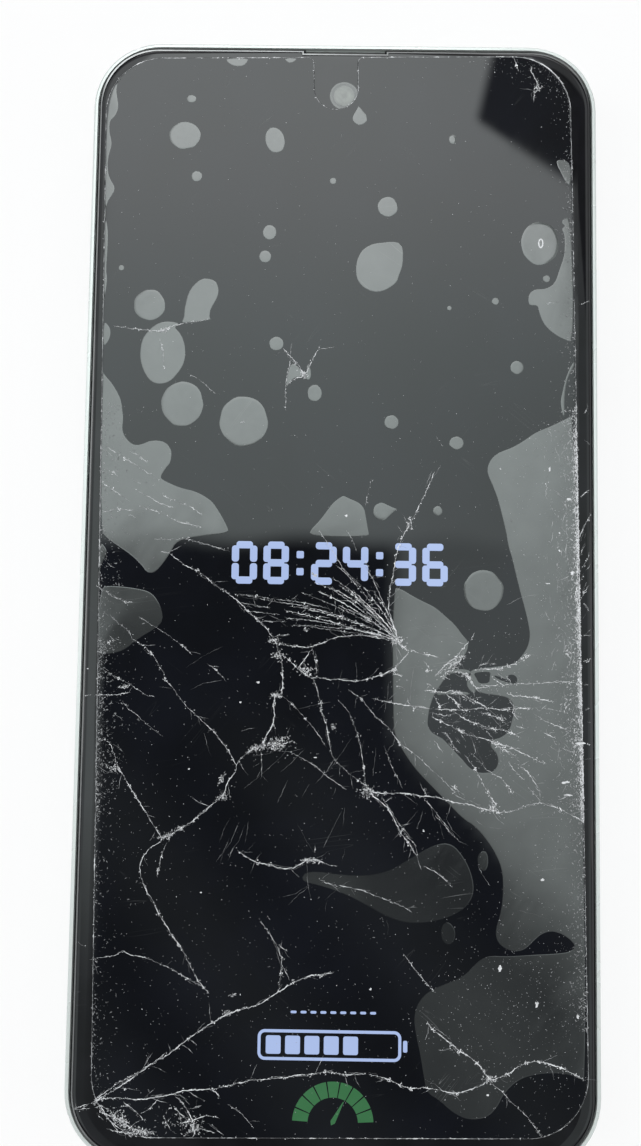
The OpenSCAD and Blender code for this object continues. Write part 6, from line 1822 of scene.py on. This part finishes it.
class PHONE_OT_screen_picture(bpy.types.Operator):
    """Draws the lit picture: a row of plain digits, a dashed line, a charge bar and a half-round gauge"""

    bl_idname = "phone.screen_picture"
    bl_label = "Screen picture"

    def execute(self, context):
        size = sizes()
        lit = Relief(61)
        high, wide, stroke = (v / MM for v in (size.digit_height, size.digit_width, size.digit_stroke))
        x = -15.6
        for mark in "08:24:36":
            if mark == ":":
                for up in (0.3, 0.7):
                    self.bar(lit, x + 0.75, high * up, stroke, stroke, 0.2)
                x += 1.5 + 0.85
                continue
            for name in LIT_BARS[mark]:
                across, up, flat = BARS[name]
                span = (wide - stroke - 0.25) if flat else (high / 2 - stroke / 2 - 0.2)
                self.bar(
                    lit, x + wide / 2 + across * (wide - stroke), high / 2 + up * (high - stroke) / 2,
                    span if flat else stroke, stroke if flat else span, 0.42
                )
            x += wide + 0.9
        for i in range(9):
            self.bar(lit, -5.6 + 1.4 * i, -60.3, 0.85, 0.36, 0.17)
        self.charge_bar(lit)
        lit.piece("lit_digits", FINISHES["lit_digits"], slot="screen_glass")
        self.gauge(size)
        return {"FINISHED"}

    def bar(self, relief, x, y, width, height, corner):
        outline = [
            (x + u, y + v)
            for u, v in rounded_outline(width, height, min(corner, width / 2 - 0.01, height / 2 - 0.01), 4)
        ]
        relief.lay(outline, GUARD_TOP, GUARD_TOP + 0.011 * MM, 0.04, lambda x, y: 1.0, 0.8)

    def charge_bar(self, relief):
        """An outlined bar with cells lit from the left."""
        left, right, low, high, wall = -10.6, 9.6, -66.9, -62.7, 0.42
        outer = rounded_outline(right - left, high - low, 1.0, 6)
        inner = rounded_outline(right - left - 2 * wall, high - low - 2 * wall, 0.6, 6)
        cx, cy = (left + right) / 2, (low + high) / 2
        n, z = len(outer), OVER_GUARD
        points = [((cx + x) * MM, (cy + y) * MM, z) for x, y in outer + inner]
        relief.add(points, ring_faces(n, 2), [1.0] * (2 * n))
        for i in range(5):
            self.bar(relief, left + 2.2 + 2.72 * i, cy, 2.1, high - low - 4 * wall, 0.3)
        self.bar(relief, right + 0.55, cy, 0.6, 1.6, 0.2)

    def gauge(self, size):
        """A half ring in segments with a needle, flat side down."""
        work, outer = Relief(62), size.gauge_radius / MM
        cx, cy = 0.1, -75.4
        for i in range(9):
            a0, a1 = math.radians(3 + 19.5 * i), math.radians(3 + 19.5 * i + 17.5)
            ring = [
                (cx + outer * math.cos(a0 + (a1 - a0) * k / 5), cy + outer * math.sin(a0 + (a1 - a0) * k / 5))
                for k in range(6)
            ]
            ring += [
                (
                    cx + 0.62 * outer * math.cos(a1 + (a0 - a1) * k / 5),
                    cy + 0.62 * outer * math.sin(a1 + (a0 - a1) * k / 5)
                )
                for k in range(6)
            ]
            work.lay(ring, GUARD_TOP, GUARD_TOP + 0.012 * MM, 0.05, lambda x, y: 1.0, 0.8)
        tip = math.radians(62)
        c, s = math.cos(tip), math.sin(tip)
        needle = [
            (cx + 0.35 * s, cy + 0.2 - 0.35 * c),
            (cx + 0.55 * outer * c + 0.06 * s, cy + 0.2 + 0.55 * outer * s - 0.06 * c),
            (cx + 0.55 * outer * c - 0.06 * s, cy + 0.2 + 0.55 * outer * s + 0.06 * c),
            (cx - 0.35 * s, cy + 0.2 + 0.35 * c), (cx - 0.5 * c, cy + 0.2 - 0.5 * s)
        ]
        work.lay(needle, GUARD_TOP, GUARD_TOP + 0.014 * MM, 0.03, lambda x, y: 1.0, 0.6)
        work.piece("lit_gauge", FINISHES["lit_gauge"], slot="screen_glass")


class PHONE_OT_front_camera(bpy.types.Operator):
    """Makes the front camera as it shows through the glass: a dark well, a thin ring and a lens, with a
    painted glint on the ring and on the lens
    """

    bl_idname = "phone.front_camera"
    bl_label = "Front camera"

    def execute(self, context):
        cx = (CAMERA_BOX[0][0] + CAMERA_BOX[1][0]) / 2 / MM - 0.1
        cy = (CAMERA_BOX[0][1] + CAMERA_BOX[1][1]) / 2 / MM
        work = Relief(71)
        # radius, height and painted glint, from dark 0 to pale 1
        profile = [
            (2.15, 0.002, 0.02), (2.05, 0.01, 0.16), (1.9, 0.01, 0.14), (1.82, 0.004, 0.02),
            (1.62, 0.006, 0.05), (1.5, 0.02, 0.3), (1.2, 0.03, 0.34), (0.8, 0.035, 0.42), (0.5, 0.036, 0.36),
            (0.2, 0.037, 0.24)
        ]
        count = 56
        points, tones = [], []
        for radius, up, tone in profile:
            for i in range(count):
                a = 2 * math.pi * i / count
                points.append(
                    ((cx + radius * math.cos(a)) * MM, (cy + radius * math.sin(a)) * MM, GLASS_TOP + up * MM)
                )
                tones.append(
                    tone * (0.85 + 0.25 * noise.noise(Vector((math.cos(a), math.sin(a), radius * 2))))
                )
        points.append((cx * MM, cy * MM, GLASS_TOP + 0.037 * MM))
        tones.append(0.25)
        work.add(points, domed_faces(count, len(profile)), tones)
        work.piece("front_camera_window", FINISHES["camera_glint"], slot="front_lens")
        return {"FINISHED"}


class PHONE_OT_rear_lenses(bpy.types.Operator):
    """Makes the faces of the two rear cameras: a trim ring with a painted highlight, a black mask and a
    coated lens with a ring of painted reflection
    """

    bl_idname = "phone.rear_lenses"
    bl_label = "Rear lenses"

    def execute(self, context):
        low, high = (Vector(corner) / MM for corner in WINDOWS_BOX)
        radius, count = (high.x - low.x) / 2, 64
        # inset from the window's rim, height out of it, and painted glint from dark 0 to pale 1
        profile = [
            (0.04, 0.0, 0.4), (0.05, 0.08, 0.75), (0.2, 0.1, 1.0), (0.6, 0.1, 0.85), (0.75, 0.06, 0.4),
            (0.82, 0.006, 0.05), (1.7, 0.004, 0.0), (2.1, 0.006, 0.02), (2.2, 0.01, 0.22), (2.45, 0.01, 0.16),
            (2.55, 0.004, 0.0), (3.3, 0.004, 0.06)
        ]
        work = Relief(72)
        for middle in (low.y + radius, high.y - radius):
            points, tones = [], []
            for inset, out, tone in profile:
                for i in range(count):
                    a = 2 * math.pi * i / count
                    points.append(
                        (
                            ((low.x + high.x) / 2 + (radius - inset) * math.cos(a)) * MM,
                            (middle + (radius - inset) * math.sin(a)) * MM, (low.z - out) * MM
                        )
                    )
                    tones.append(tone * (0.9 + 0.2 * noise.noise(Vector((math.cos(a), math.sin(a), inset)))))
            faces = [(b, a, d, c) for a, b, c, d in ring_faces(count, len(profile))]
            faces.append(tuple((len(profile) - 1) * count + i for i in reversed(range(count))))
            work.add(points, faces, tones)
        work.piece("rear_lenses", FINISHES["camera_glint"], slot="lens_glass")
        return {"FINISHED"}


class PHONE_PT_parts(bpy.types.Panel):
    """Lists the phone's pieces and its sizes and colours"""

    bl_label = "Shattered phone"
    bl_idname = "PHONE_PT_parts"
    bl_space_type = "VIEW_3D"
    bl_region_type = "UI"
    bl_category = "Phone"

    def draw(self, context):
        for operator in ORDER:
            self.layout.operator(operator.bl_idname)
        for group in (context.scene.phone_sizes, context.scene.phone_colours):
            box = self.layout.box()
            for name in group.bl_rna.properties.keys():
                if name not in ("rna_type", "name"):
                    box.prop(group, name)


# The finishes come before the pieces that wear them.
ORDER = (
    PHONE_OT_stage, PHONE_OT_finishes, PHONE_OT_cover_glass, PHONE_OT_protector, PHONE_OT_front_camera,
    PHONE_OT_screen_picture, PHONE_OT_air_pockets, PHONE_OT_cracks, PHONE_OT_crushed_glass,
    PHONE_OT_edge_chips, PHONE_OT_glass_dust, PHONE_OT_rear_lenses,
)
CLASSES = (PhoneSizes, PhoneColours, *ORDER, PHONE_PT_parts)


def register():
    for cls in CLASSES:
        bpy.utils.register_class(cls)
    bpy.types.Scene.phone_sizes = PointerProperty(type=PhoneSizes)
    bpy.types.Scene.phone_colours = PointerProperty(type=PhoneColours)


def unregister():
    del bpy.types.Scene.phone_colours
    del bpy.types.Scene.phone_sizes
    for cls in reversed(CLASSES):
        bpy.utils.unregister_class(cls)


def main():
    register()
    for operator in ORDER:
        family, name = operator.bl_idname.split(".")
        getattr(getattr(bpy.ops, family), name)()


if __name__ == "__main__":
    main()
